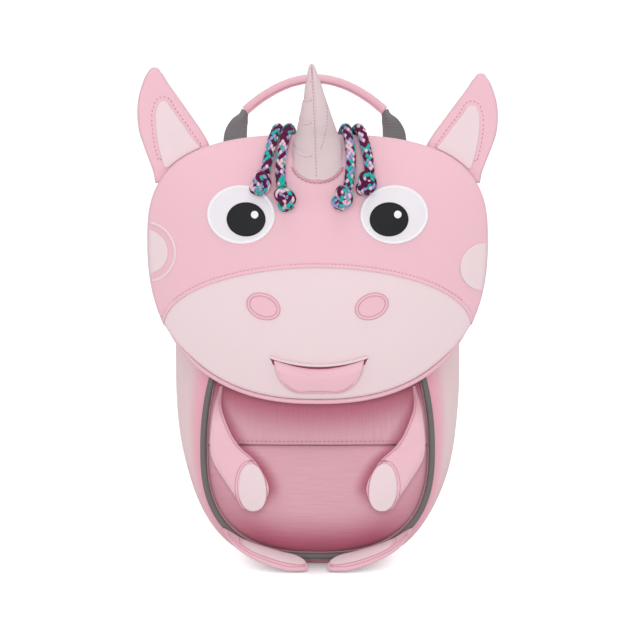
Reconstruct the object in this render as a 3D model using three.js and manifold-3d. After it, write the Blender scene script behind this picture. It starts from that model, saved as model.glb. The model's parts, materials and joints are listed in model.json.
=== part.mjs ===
// A small child's backpack in the shape of a unicorn: a soft bag with a head-shaped lid, arms and feet.
// Millimetres, +Z up, the face looks towards -Y. The origin is the middle of the flat base.
import * as THREE from 'three';
import { mergeVertices } from 'three/addons/utils/BufferGeometryUtils.js';
import Module from 'manifold-3d';

const wasm = await Module();
wasm.setup();

// Fits
const seam = 0.3; // gap between two sewn pieces
const clothWall = 2.5; // foam-backed cloth of the bag and lid
const patchThick = 0.8; // a sewn-on cloth patch

// Bag
const bagHeight = 240;
const bagHalfWidth = 86;
const bagDepth = 98;
const bagWidest = 122; // height of the widest place at the back
const mouthHeight = 190;
const frontHalfWidth = 66.7;
const frontLow = 7;
const frontHigh = 178;
const frontWidest = 70;
const baseSink = 4; // how far the round bottom is pressed flat
const pocketTop = 72.5;
const pocketBulge = 9;
const pocketRise = 0.6; // how full the pocket's bulge is from top to bottom, lower is fuller
const pocketSpread = 0.7; // and from side to side
const panelBulge = 3;
const panelThick = 2;
const pipingWidth = 3.8;
const backPadThick = 7;
const backPadHalfWidth = 80;
const outlineSides = 36;

// Head lid
const headHalfWidth = 99.5;
const headLow = 97.4;
const headHigh = 254;
const headWidest = 192.6;
const headDome = 20;
const domeFullness = 2.6;
const facePad = 5;
const rimWidth = 3;
const chinForward = 12; // the chin's edge ahead of the bag's front
const browBack = 5; // the brow's edge behind the bag's front
const muzzleHigh = 177;
const muzzleDrop = 31; // how far the muzzle's seam falls at the cheeks
const muzzleReach = 0.89; // where it has fallen so far, as a share of the head's half width
const muzzleBend = 2.1;
const hoodInset = 4; // lid top inside the head's outline
const hoodHem = 185;
const hoodWidestRise = 8; // of its rear end, above the bag's widest place
const hoodTuck = 1; // its rear end inside the bag's width

// Face
const eyeX = 44.2;
const eyeZ = 208.6;
const eyeHalfWidth = 19.6;
const eyeHalfHeight = 16.7;
const eyeThick = 1.2;
const pupilX = 41.2;
const pupilZ = 206;
const pupilHalfWidth = 11.3;
const pupilHalfHeight = 9.8;
const glintShift = 5;
const glintRise = 2.8;
const glintRadius = 2.2;
const glintThick = 0.5;
const nostrilX = 31.6;
const nostrilZ = 155.2;
const nostrilHalfWidth = 9.8;
const nostrilHalfHeight = 7.4;
const nostrilTurn = 20; // degrees
const mouthZ = 120.3;
const mouthCurl = 4.4; // rise of the mouth's corners
const tongueHalfWidth = 26;
const tongueLength = 15.6;
const tongueThick = 3;
const spotHalfHeight = 14.2;
const spotReach = 13; // of a cheek spot, in from the head's edge
const spotLeftZ = 187.5;
const spotRightZ = 177;

// Ears and horn
const earFoot = 225;
const earHeightLeft = 65;
const earHeightRight = 61.5;
const earThick = 4;
const earReach = 105.3;
const hornHeight = 67;
const hornHalfWidth = 14;
const hornFoot = 228;
const hornLean = -3.4;
const hornSeat = 0.8;
const hornDepth = 0.85; // front to back, as a share of its width

// Carry handle
const handleHalfSpan = 41.5;
const handleTop = 281;
const handleFoot = 261;
const handleThick = 5;
const handleY = 43;
const tabX = 50;
const tabWidth = 14;
const tabThick = 1.6;
const handleFlatness = 2.2;
const sleeveGap = 2; // between the sleeve's end and the webbing's
const tabSweep = 1.5; // how far the webbing bows inwards

// Arms and feet
const armHigh = 108;
const armLow = 35;
const armThick = 4.5;
const armOff = 0.8; // clearance to the bulging pocket
const armOut = 63;
const handX = 37.7;
const handZ = 50;
const handHalfWidth = 8.2;
const handHalfHeight = 13.6;
const handTurn = 6; // degrees
const footOut = 56;
const footTip = 5.2;
const footForward = 19;
const footThick = 4.5;
const footRootZ = 21;

// Mane cords
const cordWidth = 6;
const knotLength = 15.5;
const knotWidth = 11.5;
const knotStand = 0.65; // how far its tail stands off the face, as a share of its width

// Shoulder straps
const strapWidth = 30;
const strapThick = 6;
const strapTopX = 25;
const strapTopZ = 214;
const strapEndX = 56;
const strapEndZ = 84;
const strapBow = 21;
const webWidth = 15;
const webThick = 1.6;
const webEndZ = 24;
const webLean = 6; // how far its foot lies inside its top
const sliderWidth = 22;
const sliderHeight = 16;
const sliderThick = 4.5;

// Shared places
const bagFront = -bagDepth / 2;
const bagBack = bagDepth / 2;
const padBack = bagBack + seam + backPadThick;
const yAxis = new THREE.Vector3(0, 1, 0);

// Round outlines seen from the front, with their own fullness above and below the widest place
const frontShape = {
  half: frontHalfWidth, low: frontLow, wide: frontWidest, high: frontHigh, up: 2, down: 2.6,
};
const backShape = {
  half: bagHalfWidth, low: -baseSink, wide: bagWidest, high: bagHeight - seam, up: 2.4, down: 2.8,
};
const headShape = {
  half: headHalfWidth, low: headLow, wide: headWidest, high: headHigh, up: 2.85, down: 2.35,
};
const hoodFront = inset(headShape, hoodInset);
const hoodBack = {
  ...backShape, half: bagHalfWidth - hoodTuck, wide: bagWidest + hoodWidestRise, high: bagHeight, up: 2.6,
};

// How the bag swells from its front panel to its back: shares of the way in depth, width, base and top
const gussetRows = [
  { along: 0, width: 0, base: 0, top: 0 },
  { along: 0.08, width: 0.25, base: 0.5, top: 0.1 },
  { along: 0.2, width: 0.45, base: 0.85, top: 0.28 },
  { along: 0.5, width: 0.82, base: 1, top: 0.66 },
  { along: 0.8, width: 1, base: 1, top: 0.93 },
  { along: 0.93, width: 0.94, base: 0.9, top: 0.97 },
  { along: 1, width: 0.7, base: 0.5, top: 0.94 },
];

// Arm: share of its height, outer and inner edge as shares of its outermost reach
const armRows = [
  { rise: 1, outer: 0.905, inner: 0.88 },
  { rise: 0.83, outer: 0.963, inner: 0.889 },
  { rise: 0.66, outer: 0.99, inner: 0.824 },
  { rise: 0.52, outer: 1, inner: 0.73 },
  { rise: 0.41, outer: 0.981, inner: 0.586 },
  { rise: 0.29, outer: 0.905, inner: 0.489 },
  { rise: 0.18, outer: 0.819, inner: 0.448 },
  { rise: 0.09, outer: 0.741, inner: 0.462 },
  { rise: 0.025, outer: 0.69, inner: 0.51 },
  { rise: 0, outer: 0.64, inner: 0.56 },
];

// Ear: share of its height above the foot, outer and inner edge as shares of its outermost reach
const earRows = [
  { rise: 0, outer: 0.9, inner: 0.6 },
  { rise: 0.1, outer: 0.912, inner: 0.6 },
  { rise: 0.2, outer: 0.934, inner: 0.6 },
  { rise: 0.34, outer: 0.966, inner: 0.601 },
  { rise: 0.46, outer: 0.99, inner: 0.64 },
  { rise: 0.6, outer: 1, inner: 0.7 },
  { rise: 0.75, outer: 0.995, inner: 0.765 },
  { rise: 0.89, outer: 0.972, inner: 0.827 },
  { rise: 0.97, outer: 0.95, inner: 0.86 },
  { rise: 1, outer: 0.928, inner: 0.884 },
];
const earPatchRows = [
  { rise: 0.14, outer: 0.848, inner: 0.6 },
  { rise: 0.25, outer: 0.868, inner: 0.6 },
  { rise: 0.36, outer: 0.884, inner: 0.672 },
  { rise: 0.52, outer: 0.896, inner: 0.742 },
  { rise: 0.64, outer: 0.896, inner: 0.797 },
  { rise: 0.715, outer: 0.873, inner: 0.838 },
];

// Foot: share of the way from its root to its tip, rear edge height, how far it reaches forward and falls
const footRows = [
  { along: 0, height: 1, forward: 0.1, fall: 0.04 },
  { along: 0.14, height: 0.83, forward: 0.42, fall: 0.12 },
  { along: 0.32, height: 0.62, forward: 0.72, fall: 0.24 },
  { along: 0.52, height: 0.46, forward: 0.92, fall: 0.38 },
  { along: 0.72, height: 0.33, forward: 0.94, fall: 0.55 },
  { along: 0.88, height: 0.25, forward: 0.8, fall: 0.65 },
  { along: 0.97, height: 0.21, forward: 0.55, fall: 0.6 },
  { along: 1, height: 0.2, forward: 0.35, fall: 0.5 },
];

// Horn: share of its height, half width, sideways lean and how level the section has become
const hornRows = [
  { rise: 0, half: 1, lean: 0, level: 0 },
  { rise: 0.12, half: 1.02, lean: 0.02, level: 0.2 },
  { rise: 0.26, half: 0.9, lean: 0.12, level: 0.55 },
  { rise: 0.4, half: 0.74, lean: 0.25, level: 0.85 },
  { rise: 0.58, half: 0.54, lean: 0.45, level: 1 },
  { rise: 0.74, half: 0.38, lean: 0.65, level: 1 },
  { rise: 0.88, half: 0.23, lean: 0.85, level: 1 },
  { rise: 0.97, half: 0.13, lean: 0.97, level: 1 },
  { rise: 1, half: 0.05, lean: 1, level: 1 },
];

// Tongue: share of its length below the mouth and of its half width
const tongueRows = [
  { drop: 0, half: 1 },
  { drop: 0.25, half: 0.95 },
  { drop: 0.6, half: 0.84 },
  { drop: 0.85, half: 0.66 },
  { drop: 0.97, half: 0.5 },
  { drop: 1, half: 0.36 },
];

// Knot with its short tail: share of its length and of its half width
const knotRows = [
  { along: 0, half: 0 },
  { along: 0.06, half: 0.55 },
  { along: 0.25, half: 0.97 },
  { along: 0.45, half: 1 },
  { along: 0.64, half: 0.72 },
  { along: 0.76, half: 0.47 },
  { along: 0.96, half: 0.42 },
  { along: 1, half: 0 },
];

// Where the four mane cords lie, from the lid's top over the brow to the knot
const maneRoutes = {
  mane_cord_1: [
    [-20.5, -19, 251.5], [-20.8, -23, 251.9], [-21.2, -27, 252.6], [-21.6, -31, 253.8],
    [-22, -35, 255.4], [-22.5, -38.5, 256.7], [-23.2, -42, 257.2], [-24, -45.5, 256.2],
    [-25, -48.8, 253.8], [-26, -51.8, 250.6], [-27, -54.6, 247], [-27.9, -57.4, 243.3],
    [-28.8, -60.3, 239.6], [-29.6, -63.3, 236], [-30.4, -66.2, 232.4],
  ],
  mane_cord_2: [
    [-14.2, -19, 251.6], [-14.4, -23, 252], [-14.7, -27, 252.7], [-15.1, -31, 253.9],
    [-15.6, -35, 255.5], [-16.2, -38.5, 256.8], [-16.9, -42, 257.3], [-17.6, -45.5, 256.3],
    [-18.4, -48.8, 253.9], [-19.2, -51.8, 250.7], [-20, -54.6, 247.1], [-20.7, -57.3, 243.3],
    [-21.2, -59.9, 239.5], [-21.4, -62.5, 235.6], [-21.4, -65, 231.7], [-21, -67.4, 227.8],
    [-20.4, -69.6, 224],
  ],
  mane_cord_3: [
    [13.6, -19, 251.6], [13.9, -23, 252], [14.3, -27, 252.7], [14.8, -31, 253.9],
    [15.3, -35, 255.5], [15.8, -38.5, 256.8], [16.4, -42, 257.3], [17, -45.5, 256.3],
    [17.7, -48.8, 253.9], [18.3, -51.8, 250.7], [18.8, -54.6, 247.1], [19.1, -57.3, 243.3],
    [19.2, -59.9, 239.5], [19, -62.5, 235.6], [18.6, -65, 231.7], [18, -67.4, 227.8],
    [17.2, -69.6, 224],
  ],
  mane_cord_4: [
    [20, -19, 251.5], [20.4, -23, 251.9], [20.9, -27, 252.6], [21.5, -31, 253.8],
    [22.2, -35, 255.4], [23, -38.5, 256.7], [23.8, -42, 257.2], [24.8, -45.5, 256.2],
    [25.8, -48.8, 253.8], [26.8, -51.8, 250.6], [27.8, -54.6, 247], [28.7, -57.4, 243.3],
    [29.4, -60.3, 239.6], [29.8, -63.3, 236], [29.9, -66.2, 232.4],
  ],
};
// Where each knot's tail ends, seen from the front
const knotTails = {
  mane_cord_1: { x: -35.8, z: 217.4 },
  mane_cord_2: { x: -14.6, z: 208.2 },
  mane_cord_3: { x: 10.6, z: 209.2 },
  mane_cord_4: { x: 25.6, z: 215.6 },
};

const colours = {
  pinkCloth: 0xf0b6c6,
  sideCloth: 0xe7bfca,
  deepPink: 0xd98ba6,
  paleCloth: 0xecd9dc,
  hornCloth: 0xdbcacb,
  greyWeb: 0x77777a,
  white: 0xf4f3f6,
  black: 0x101012,
  cordMix: 0x7a6f9c,
};

function mix(a, b, share) {
  return a + (b - a) * share;
}

function inset(shape, by) {
  return { ...shape, half: shape.half - by, low: shape.low + by, high: shape.high - by };
}

function power(value, exponent) {
  return Math.sign(value) * Math.abs(value) ** exponent;
}

// A point of a round outline, counted by angle from +X towards +Z
function outlinePoint(shape, angle) {
  const rising = Math.sin(angle) >= 0;
  const fullness = rising ? shape.up : shape.down;
  const reach = rising ? shape.high - shape.wide : shape.wide - shape.low;
  const x = shape.half * power(Math.cos(angle), 2 / fullness);
  return new THREE.Vector2(x, shape.wide + reach * power(Math.sin(angle), 2 / fullness));
}

// 0 in the middle of a round outline, 1 on it
function outlineShare(shape, x, z) {
  const rising = z >= shape.wide;
  const fullness = rising ? shape.up : shape.down;
  const reach = rising ? shape.high - shape.wide : shape.wide - shape.low;
  const total = Math.abs(x / shape.half) ** fullness + Math.abs((z - shape.wide) / reach) ** fullness;
  return total ** (1 / fullness);
}

function halfWidthAt(shape, z) {
  const rising = z >= shape.wide;
  const fullness = rising ? shape.up : shape.down;
  const reach = rising ? shape.high - shape.wide : shape.wide - shape.low;
  const left = 1 - Math.min(1, Math.abs((z - shape.wide) / reach)) ** fullness;
  return shape.half * left ** (1 / fullness);
}

// The plane of the head's edge, leaning back towards the brow, and the domed face in front of it
function headEdgeY(z) {
  const chin = bagFront - chinForward;
  const brow = bagFront + browBack;
  return mix(chin, brow, (z - headLow) / (headHigh - headLow));
}

function faceY(x, z) {
  const fall = Math.min(1, outlineShare(headShape, x, z)) ** domeFullness;
  return headEdgeY(z) - headDome * (1 - fall);
}

function muzzleSeamZ(x) {
  return muzzleHigh - muzzleDrop * Math.abs(x / (muzzleReach * headHalfWidth)) ** muzzleBend;
}

// One closed body from triangles given as triples of points
function solid(faces) {
  const loose = new THREE.BufferGeometry();
  const numbers = faces.flat().flatMap((p) => [p.x, p.y, p.z]);
  loose.setAttribute('position', new THREE.Float32BufferAttribute(numbers, 3));
  return cleaned(loose);
}

// Merges corners, drops flat slivers that lost a corner and turns the faces outwards
function cleaned(geometry) {
  geometry.deleteAttribute('normal');
  geometry.deleteAttribute('uv');
  const merged = mergeVertices(geometry, 1e-3);
  const kept = [];
  for (let i = 0; i < merged.index.count; i += 3) {
    const [a, b, c] = [0, 1, 2].map((k) => merged.index.getX(i + k));
    if (a !== b && b !== c && c !== a) kept.push([a, b, c]);
  }
  const corner = (i) => new THREE.Vector3().fromBufferAttribute(merged.attributes.position, i);
  const volume = kept.reduce((sum, [a, b, c]) => sum + corner(a).dot(corner(b).cross(corner(c))), 0);
  merged.setIndex(kept.flatMap(([a, b, c]) => (volume < 0 ? [a, c, b] : [a, b, c])));
  merged.computeVertexNormals();
  return merged;
}

function quad(a, b, c, d) {
  return [[a, b, c], [a, c, d]];
}

// A sheet between two grids of points. A wrapped grid closes on itself from last column to first.
function sheet(front, back, wrapped = false) {
  const faces = [];
  const rows = front.length;
  const columns = front[0].length;
  const spans = wrapped ? columns : columns - 1;
  for (let i = 0; i < rows - 1; i += 1) {
    for (let j = 0; j < spans; j += 1) {
      const k = (j + 1) % columns;
      faces.push(...quad(front[i][j], front[i][k], front[i + 1][k], front[i + 1][j]));
      faces.push(...quad(back[i + 1][j], back[i + 1][k], back[i][k], back[i][j]));
    }
  }
  for (let j = 0; j < spans; j += 1) {
    const k = (j + 1) % columns;
    const end = rows - 1;
    faces.push(...quad(back[0][j], back[0][k], front[0][k], front[0][j]));
    faces.push(...quad(front[end][j], front[end][k], back[end][k], back[end][j]));
  }
  for (let i = 0; i < rows - 1 && !wrapped; i += 1) {
    const end = columns - 1;
    faces.push(...quad(front[i][0], front[i + 1][0], back[i + 1][0], back[i][0]));
    faces.push(...quad(back[i][end], back[i + 1][end], front[i + 1][end], front[i][end]));
  }
  return solid(faces);
}

// A body through rings of points, with its ends closed, or closed on itself as a loop
function loft(rings, loop = false) {
  const faces = [];
  const count = rings[0].length;
  const spans = loop ? rings.length : rings.length - 1;
  for (let i = 0; i < spans; i += 1) {
    const next = rings[(i + 1) % rings.length];
    for (let j = 0; j < count; j += 1) {
      const k = (j + 1) % count;
      faces.push(...quad(rings[i][j], rings[i][k], next[k], next[j]));
    }
  }
  if (loop) return solid(faces);
  const first = rings[0];
  const last = rings[rings.length - 1];
  for (let j = 0; j < count; j += 1) {
    const k = (j + 1) % count;
    faces.push([middle(first), first[k], first[j]]);
    faces.push([middle(last), last[j], last[k]]);
  }
  return solid(faces);
}

function middle(points) {
  const sum = points.reduce((total, p) => total.add(p), new THREE.Vector3());
  return sum.divideScalar(points.length);
}

// A flat section swept along points that lie roughly in planes facing the front
function sweep(points, section, { loop = false, widths = [] } = {}) {
  const rings = points.map((point, i) => {
    const before = loop ? points.at(i - 1) : points[Math.max(0, i - 1)];
    const after = loop ? points[(i + 1) % points.length] : points[Math.min(points.length - 1, i + 1)];
    const along = after.clone().sub(before).normalize();
    const across = along.clone().cross(yAxis).normalize();
    const out = across.clone().cross(along).normalize();
    const wide = widths[i] ?? 1;
    return section.map(([a, b]) => point.clone().addScaledVector(across, a * wide).addScaledVector(out, b));
  });
  return loft(rings, loop);
}

function ovalSection(halfWidth, halfThick, sides) {
  return Array.from({ length: sides }, (_, i) => {
    const angle = (2 * Math.PI * (i + 0.5)) / sides;
    return [halfWidth * power(Math.cos(angle), 0.7), halfThick * power(Math.sin(angle), 0.7)];
  });
}

function flatSection(width, thick) {
  const [a, b] = [width / 2, thick / 2];
  return [[a, b], [-a, b], [-a, -b], [a, -b]];
}

// A round cord or sleeve
function tube(points, width, steps) {
  const circle = new THREE.Shape().absarc(0, 0, width / 2, 0, 2 * Math.PI);
  const path = new THREE.CatmullRomCurve3(points);
  return cleaned(new THREE.ExtrudeGeometry(circle, { steps, curveSegments: 4, extrudePath: path }));
}

// A padded panel inside an outline, between a front and a back surface
function pad(outline, centre, rings, front, back) {
  const grid = (surface) =>
    Array.from({ length: rings + 1 }, (_, i) =>
      outline.map((p) => {
        const [x, z] = [mix(centre.x, p.x, i / rings), mix(centre.y, p.y, i / rings)];
        return new THREE.Vector3(x, surface(x, z), z);
      }));
  return sheet(grid(front), grid(back), true);
}

// A panel through level rows, each from a left to a right edge
function leaf(rows, columns, front, back) {
  const grid = (surface) =>
    rows.map(({ z, left, right }) =>
      Array.from({ length: columns + 1 }, (_, j) => {
        const x = mix(left, right, j / columns);
        return new THREE.Vector3(x, surface(x, z), z);
      }));
  return sheet(grid(front), grid(back));
}

function oval(x, z, halfWidth, halfHeight, sides, turn = 0) {
  const centre = new THREE.Vector2(x, z);
  const points = Array.from({ length: sides }, (_, i) => {
    const angle = (2 * Math.PI * i) / sides;
    const p = new THREE.Vector2(halfWidth * Math.cos(angle), halfHeight * Math.sin(angle));
    return p.rotateAround(new THREE.Vector2(), THREE.MathUtils.degToRad(turn)).add(centre);
  });
  return { points, centre };
}

function manifoldOf(geometry) {
  const bare = cleaned(geometry);
  return new wasm.Manifold(new wasm.Mesh({
    numProp: 3,
    vertProperties: new Float32Array(bare.attributes.position.array),
    triVerts: new Uint32Array(bare.index.array),
  }));
}

function geometryOf(body) {
  const mesh = body.getMesh();
  const geometry = new THREE.BufferGeometry();
  geometry.setAttribute('position', new THREE.BufferAttribute(new Float32Array(mesh.vertProperties), 3));
  geometry.setIndex(Array.from(mesh.triVerts));
  geometry.computeVertexNormals();
  return geometry;
}

function block(x0, x1, y0, y1, z0, z1) {
  const box = new THREE.BoxGeometry(x1 - x0, y1 - y0, z1 - z0);
  return box.translate((x0 + x1) / 2, (y0 + y1) / 2, (z0 + z1) / 2);
}

const bag = new THREE.Group();

function add(name, geometry, colour, roughness = 0.85) {
  const material = new THREE.MeshStandardMaterial({ color: colour, roughness, metalness: 0 });
  const mesh = new THREE.Mesh(geometry, material);
  mesh.name = name;
  bag.add(mesh);
}

// The soft bag: gusset, front wall and back wall as one shell, open at the top
function gussetSolid(wall) {
  const rings = gussetRows.map((row) => {
    const shape = {
      half: mix(frontShape.half, backShape.half, row.width) - wall,
      low: mix(frontShape.low, backShape.low, row.base) + wall,
      wide: mix(frontShape.wide, backShape.wide, row.top),
      high: mix(frontShape.high, backShape.high, row.top) - wall,
      up: mix(frontShape.up, backShape.up, row.top),
      down: mix(frontShape.down, backShape.down, row.base),
    };
    const y = mix(bagFront + wall, bagBack - wall, row.along);
    return roundOutline(shape, outlineSides).map((p) => new THREE.Vector3(p.x, y, p.y));
  });
  return manifoldOf(loft(rings));
}

function roundOutline(shape, count) {
  return Array.from({ length: count }, (_, i) => outlinePoint(shape, (2 * Math.PI * i) / count));
}

function bagShell() {
  const reach = 2 * bagHalfWidth;
  const below = (level) => manifoldOf(block(-reach, reach, -reach, reach, -reach, level));
  const above = manifoldOf(block(-reach, reach, -reach, reach, mouthHeight, mouthHeight + reach));
  const outer = gussetSolid(0).subtract(below(0));
  const inner = gussetSolid(clothWall).subtract(below(clothWall));
  return geometryOf(outer.subtract(inner).subtract(above));
}

// Front: an upper panel and a bulging pocket below its seam, inside the grey piping
const panelShape = inset(frontShape, pipingWidth / 2 + seam);

function panelRows(low, high, count) {
  return Array.from({ length: count + 1 }, (_, i) => {
    const z = mix(low, high, (1 - Math.cos((Math.PI * i) / count)) / 2);
    const half = halfWidthAt(panelShape, z);
    return { z, left: -half, right: half };
  });
}

function panelY(x, z) {
  const swell = 1 - outlineShare(panelShape, x, z) ** 2;
  return bagFront - seam - panelThick - panelBulge * Math.max(0, swell);
}

function pocketSwell(x, z) {
  const share = THREE.MathUtils.clamp((z - panelShape.low) / (pocketTop - panelShape.low), 0, 1);
  const half = Math.max(1, halfWidthAt(panelShape, z));
  const across = Math.max(0, 1 - (x / half) ** 2) ** pocketSpread;
  return pocketBulge * (4 * share * (1 - share)) ** pocketRise * across;
}

function pocketY(x, z) {
  return panelY(x, z) - pocketSwell(x, z);
}

function buildFront() {
  const upper = panelRows(pocketTop + seam, panelShape.high, 7);
  add('front_panel', leaf(upper, 10, panelY, () => bagFront - seam), colours.deepPink);
  const inside = (x, z) => bagFront - seam - pocketSwell(x, z);
  add('front_pocket', leaf(panelRows(panelShape.low, pocketTop, 7), 12, pocketY, inside), colours.deepPink);
  const pipe = roundOutline(inset(frontShape, -seam), 48);
  const pipeY = bagFront - seam - pipingWidth / 2;
  const loop = pipe.map((p) => new THREE.Vector3(p.x, pipeY, p.y));
  const round = ovalSection(pipingWidth / 2, pipingWidth / 2, 6);
  add('piping', sweep(loop, round, { loop: true }), colours.greyWeb);
}

function buildBack() {
  const shape = { ...backShape, half: backPadHalfWidth, low: frontLow, high: bagHeight, up: 2.6 };
  const outline = roundOutline(shape, outlineSides);
  const centre = new THREE.Vector2(0, bagWidest);
  add('back_panel', pad(outline, centre, 1, () => bagBack + seam, () => padBack), colours.sideCloth);
}

// Where the muzzle's seam meets the head's edge
function muzzleCorner(shape) {
  let [low, high] = [-Math.PI / 2, 0];
  for (let i = 0; i < 40; i += 1) {
    const angle = (low + high) / 2;
    const p = outlinePoint(shape, angle);
    if (p.y < muzzleSeamZ(p.x)) low = angle;
    else high = angle;
  }
  return outlinePoint(shape, low);
}

// Lid: forehead and muzzle meet at a seam, a rim binds their edge, a hood joins them to the back
function buildHead() {
  const shape = inset(headShape, rimWidth + seam);
  const edge = roundOutline(shape, 44);
  const corner = muzzleCorner(shape);
  const seamSteps = 14;
  const seamPoints = (side) =>
    Array.from({ length: seamSteps + 1 }, (_, i) => {
      const x = mix(-corner.x, corner.x, i / seamSteps);
      return new THREE.Vector2(x, muzzleSeamZ(x) + (side * seam) / 2);
    });
  const upper = edge.filter((p) => p.y > muzzleSeamZ(p.x) + clothWall);
  const lower = edge.filter((p) => p.y < muzzleSeamZ(p.x) - clothWall);
  const back = (x, z) => faceY(x, z) + facePad;
  const turned = (points, centre) => {
    const angle = (p) => Math.atan2(p.y - centre.y, p.x - centre.x);
    return points.sort((a, b) => angle(a) - angle(b));
  };
  const middleShare = 0.45;
  const browCentre = new THREE.Vector2(0, mix(muzzleHigh, headHigh, middleShare));
  const chinCentre = new THREE.Vector2(0, mix(headLow, muzzleHigh, middleShare));
  add('forehead', pad(turned([...upper, ...seamPoints(1)], browCentre), browCentre, 4, faceY, back),
    colours.pinkCloth);
  add('muzzle', pad(turned([...lower, ...seamPoints(-1)], chinCentre), chinCentre, 4, faceY, back),
    colours.paleCloth);
  const rim = roundOutline(inset(headShape, rimWidth / 2), 48);
  const loop = rim.map((p) => new THREE.Vector3(p.x, headEdgeY(p.y) + facePad / 2, p.y));
  add('face_rim', sweep(loop, ovalSection(rimWidth / 2, facePad / 2, 6), { loop: true }), colours.pinkCloth);
}

function hoodShape(share) {
  const blended = {};
  for (const key of Object.keys(hoodFront)) blended[key] = mix(hoodFront[key], hoodBack[key], share);
  return blended;
}

function hoodArc(share, wall, count) {
  const shape = inset(hoodShape(share), wall);
  const rising = hoodHem >= shape.wide;
  const reach = rising ? shape.high - shape.wide : shape.wide - shape.low;
  const fullness = rising ? shape.up : shape.down;
  const start = Math.asin(power((hoodHem - shape.wide) / reach, fullness / 2));
  return Array.from({ length: count + 1 }, (_, i) => {
    const p = outlinePoint(shape, mix(start, Math.PI - start, i / count));
    const y = mix(headEdgeY(p.y) + facePad + seam, bagBack, share);
    return new THREE.Vector3(p.x, y, p.y);
  });
}

function hoodTopZ(x, y) {
  const share = (y - headEdgeY(headHigh) - facePad) / (bagBack - headEdgeY(headHigh) - facePad);
  const shape = hoodShape(share);
  const rise = (1 - Math.abs(x / shape.half) ** shape.up) ** (1 / shape.up);
  return mix(shape.wide, shape.high, rise);
}

function buildHood() {
  const shares = [0, 0.25, 0.5, 0.75, 1];
  const outer = shares.map((share) => hoodArc(share, 0, 26));
  const inner = shares.map((share) => hoodArc(share, clothWall, 26));
  add('flap_hood', sheet(outer, inner), colours.pinkCloth);
}

// What is sewn on the face lies on it in layers: distance off the face and thickness of each
function onFace(off, thick) {
  return [(x, z) => faceY(x, z) - off - thick, (x, z) => faceY(x, z) - off];
}

function buildFace() {
  const eyeOff = seam;
  const pupilOff = eyeOff + eyeThick + seam;
  const glintOff = pupilOff + patchThick + seam;
  for (const [side, sign] of [['left', -1], ['right', 1]]) {
    const white = oval(sign * eyeX, eyeZ, eyeHalfWidth, eyeHalfHeight, 24);
    add(`eye_white_${side}`, pad(white.points, white.centre, 2, ...onFace(eyeOff, eyeThick)), colours.white);
    const pupil = oval(sign * pupilX, pupilZ, pupilHalfWidth, pupilHalfHeight, 18);
    add(`pupil_${side}`, pad(pupil.points, pupil.centre, 1, ...onFace(pupilOff, patchThick)), colours.black);
    const glintX = sign * pupilX + glintShift;
    const glint = oval(glintX, pupilZ + glintRise, glintRadius, glintRadius, 8);
    add(`eye_glint_${side}`, pad(glint.points, glint.centre, 1, ...onFace(glintOff, glintThick)),
      colours.white);
    const turn = sign * nostrilTurn;
    const nostril = oval(sign * nostrilX, nostrilZ, nostrilHalfWidth, nostrilHalfHeight, 14, turn);
    add(`nostril_${side}`, pad(nostril.points, nostril.centre, 1, ...onFace(seam, patchThick)),
      colours.pinkCloth);
    const spotZ = sign < 0 ? spotLeftZ : spotRightZ;
    add(`cheek_spot_${side}`, cheekSpot(sign, spotZ), colours.paleCloth);
  }
  const rows = tongueRows.map(({ drop, half }) => ({ drop, reach: half * tongueHalfWidth }));
  const grid = (surface) =>
    rows.map(({ drop, reach }) =>
      Array.from({ length: 9 }, (_, j) => {
        const x = mix(-reach, reach, j / 8);
        const curl = mouthCurl * (x / tongueHalfWidth) ** 2 * (1 - drop);
        const z = mouthZ + curl - drop * tongueLength;
        return new THREE.Vector3(x, surface(x, z), z);
      }));
  const [front, back] = onFace(seam, tongueThick);
  add('tongue', sheet(grid(front), grid(back)), colours.pinkCloth);
}

function cheekSpot(sign, spotZ) {
  const shape = inset(headShape, rimWidth + 2 * seam);
  const rows = Array.from({ length: 7 }, (_, i) => {
    const lift = mix(-1, 1, i / 6);
    const z = spotZ + lift * spotHalfHeight;
    const edge = halfWidthAt(shape, z);
    const reach = spotReach * Math.sqrt(1 - lift * lift);
    return { z, left: sign * edge, right: sign * (edge - reach) };
  });
  return leaf(rows, 2, ...onFace(seam, patchThick));
}

// Ears: flat and double, sewn in behind the head's edge
function buildEars() {
  for (const [side, sign, height] of [['left', -1, earHeightLeft], ['right', 1, earHeightRight]]) {
    const rowsOf = (table, edge, clear) =>
      table.map(({ rise, outer, inner }) => {
        const z = earFoot + rise * height;
        const hidden = z < edge.high ? halfWidthAt(edge, z) + clear : 0;
        const left = Math.max(inner * earReach, hidden);
        return { z, left: sign * left, right: sign * Math.max(outer * earReach, left + seam) };
      });
    const front = (x, z) => headEdgeY(z) + facePad + seam;
    const back = (x, z) => front(x, z) + earThick;
    add(`ear_${side}`, leaf(rowsOf(earRows, hoodFront, 3 * seam), 4, front, back), colours.pinkCloth);
    const patchBack = (x, z) => front(x, z) - seam;
    const patchFront = (x, z) => patchBack(x, z) - patchThick;
    add(`ear_patch_${side}`, leaf(rowsOf(earPatchRows, headShape, 2 * seam), 3, patchFront, patchBack),
      colours.paleCloth);
  }
}

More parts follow.
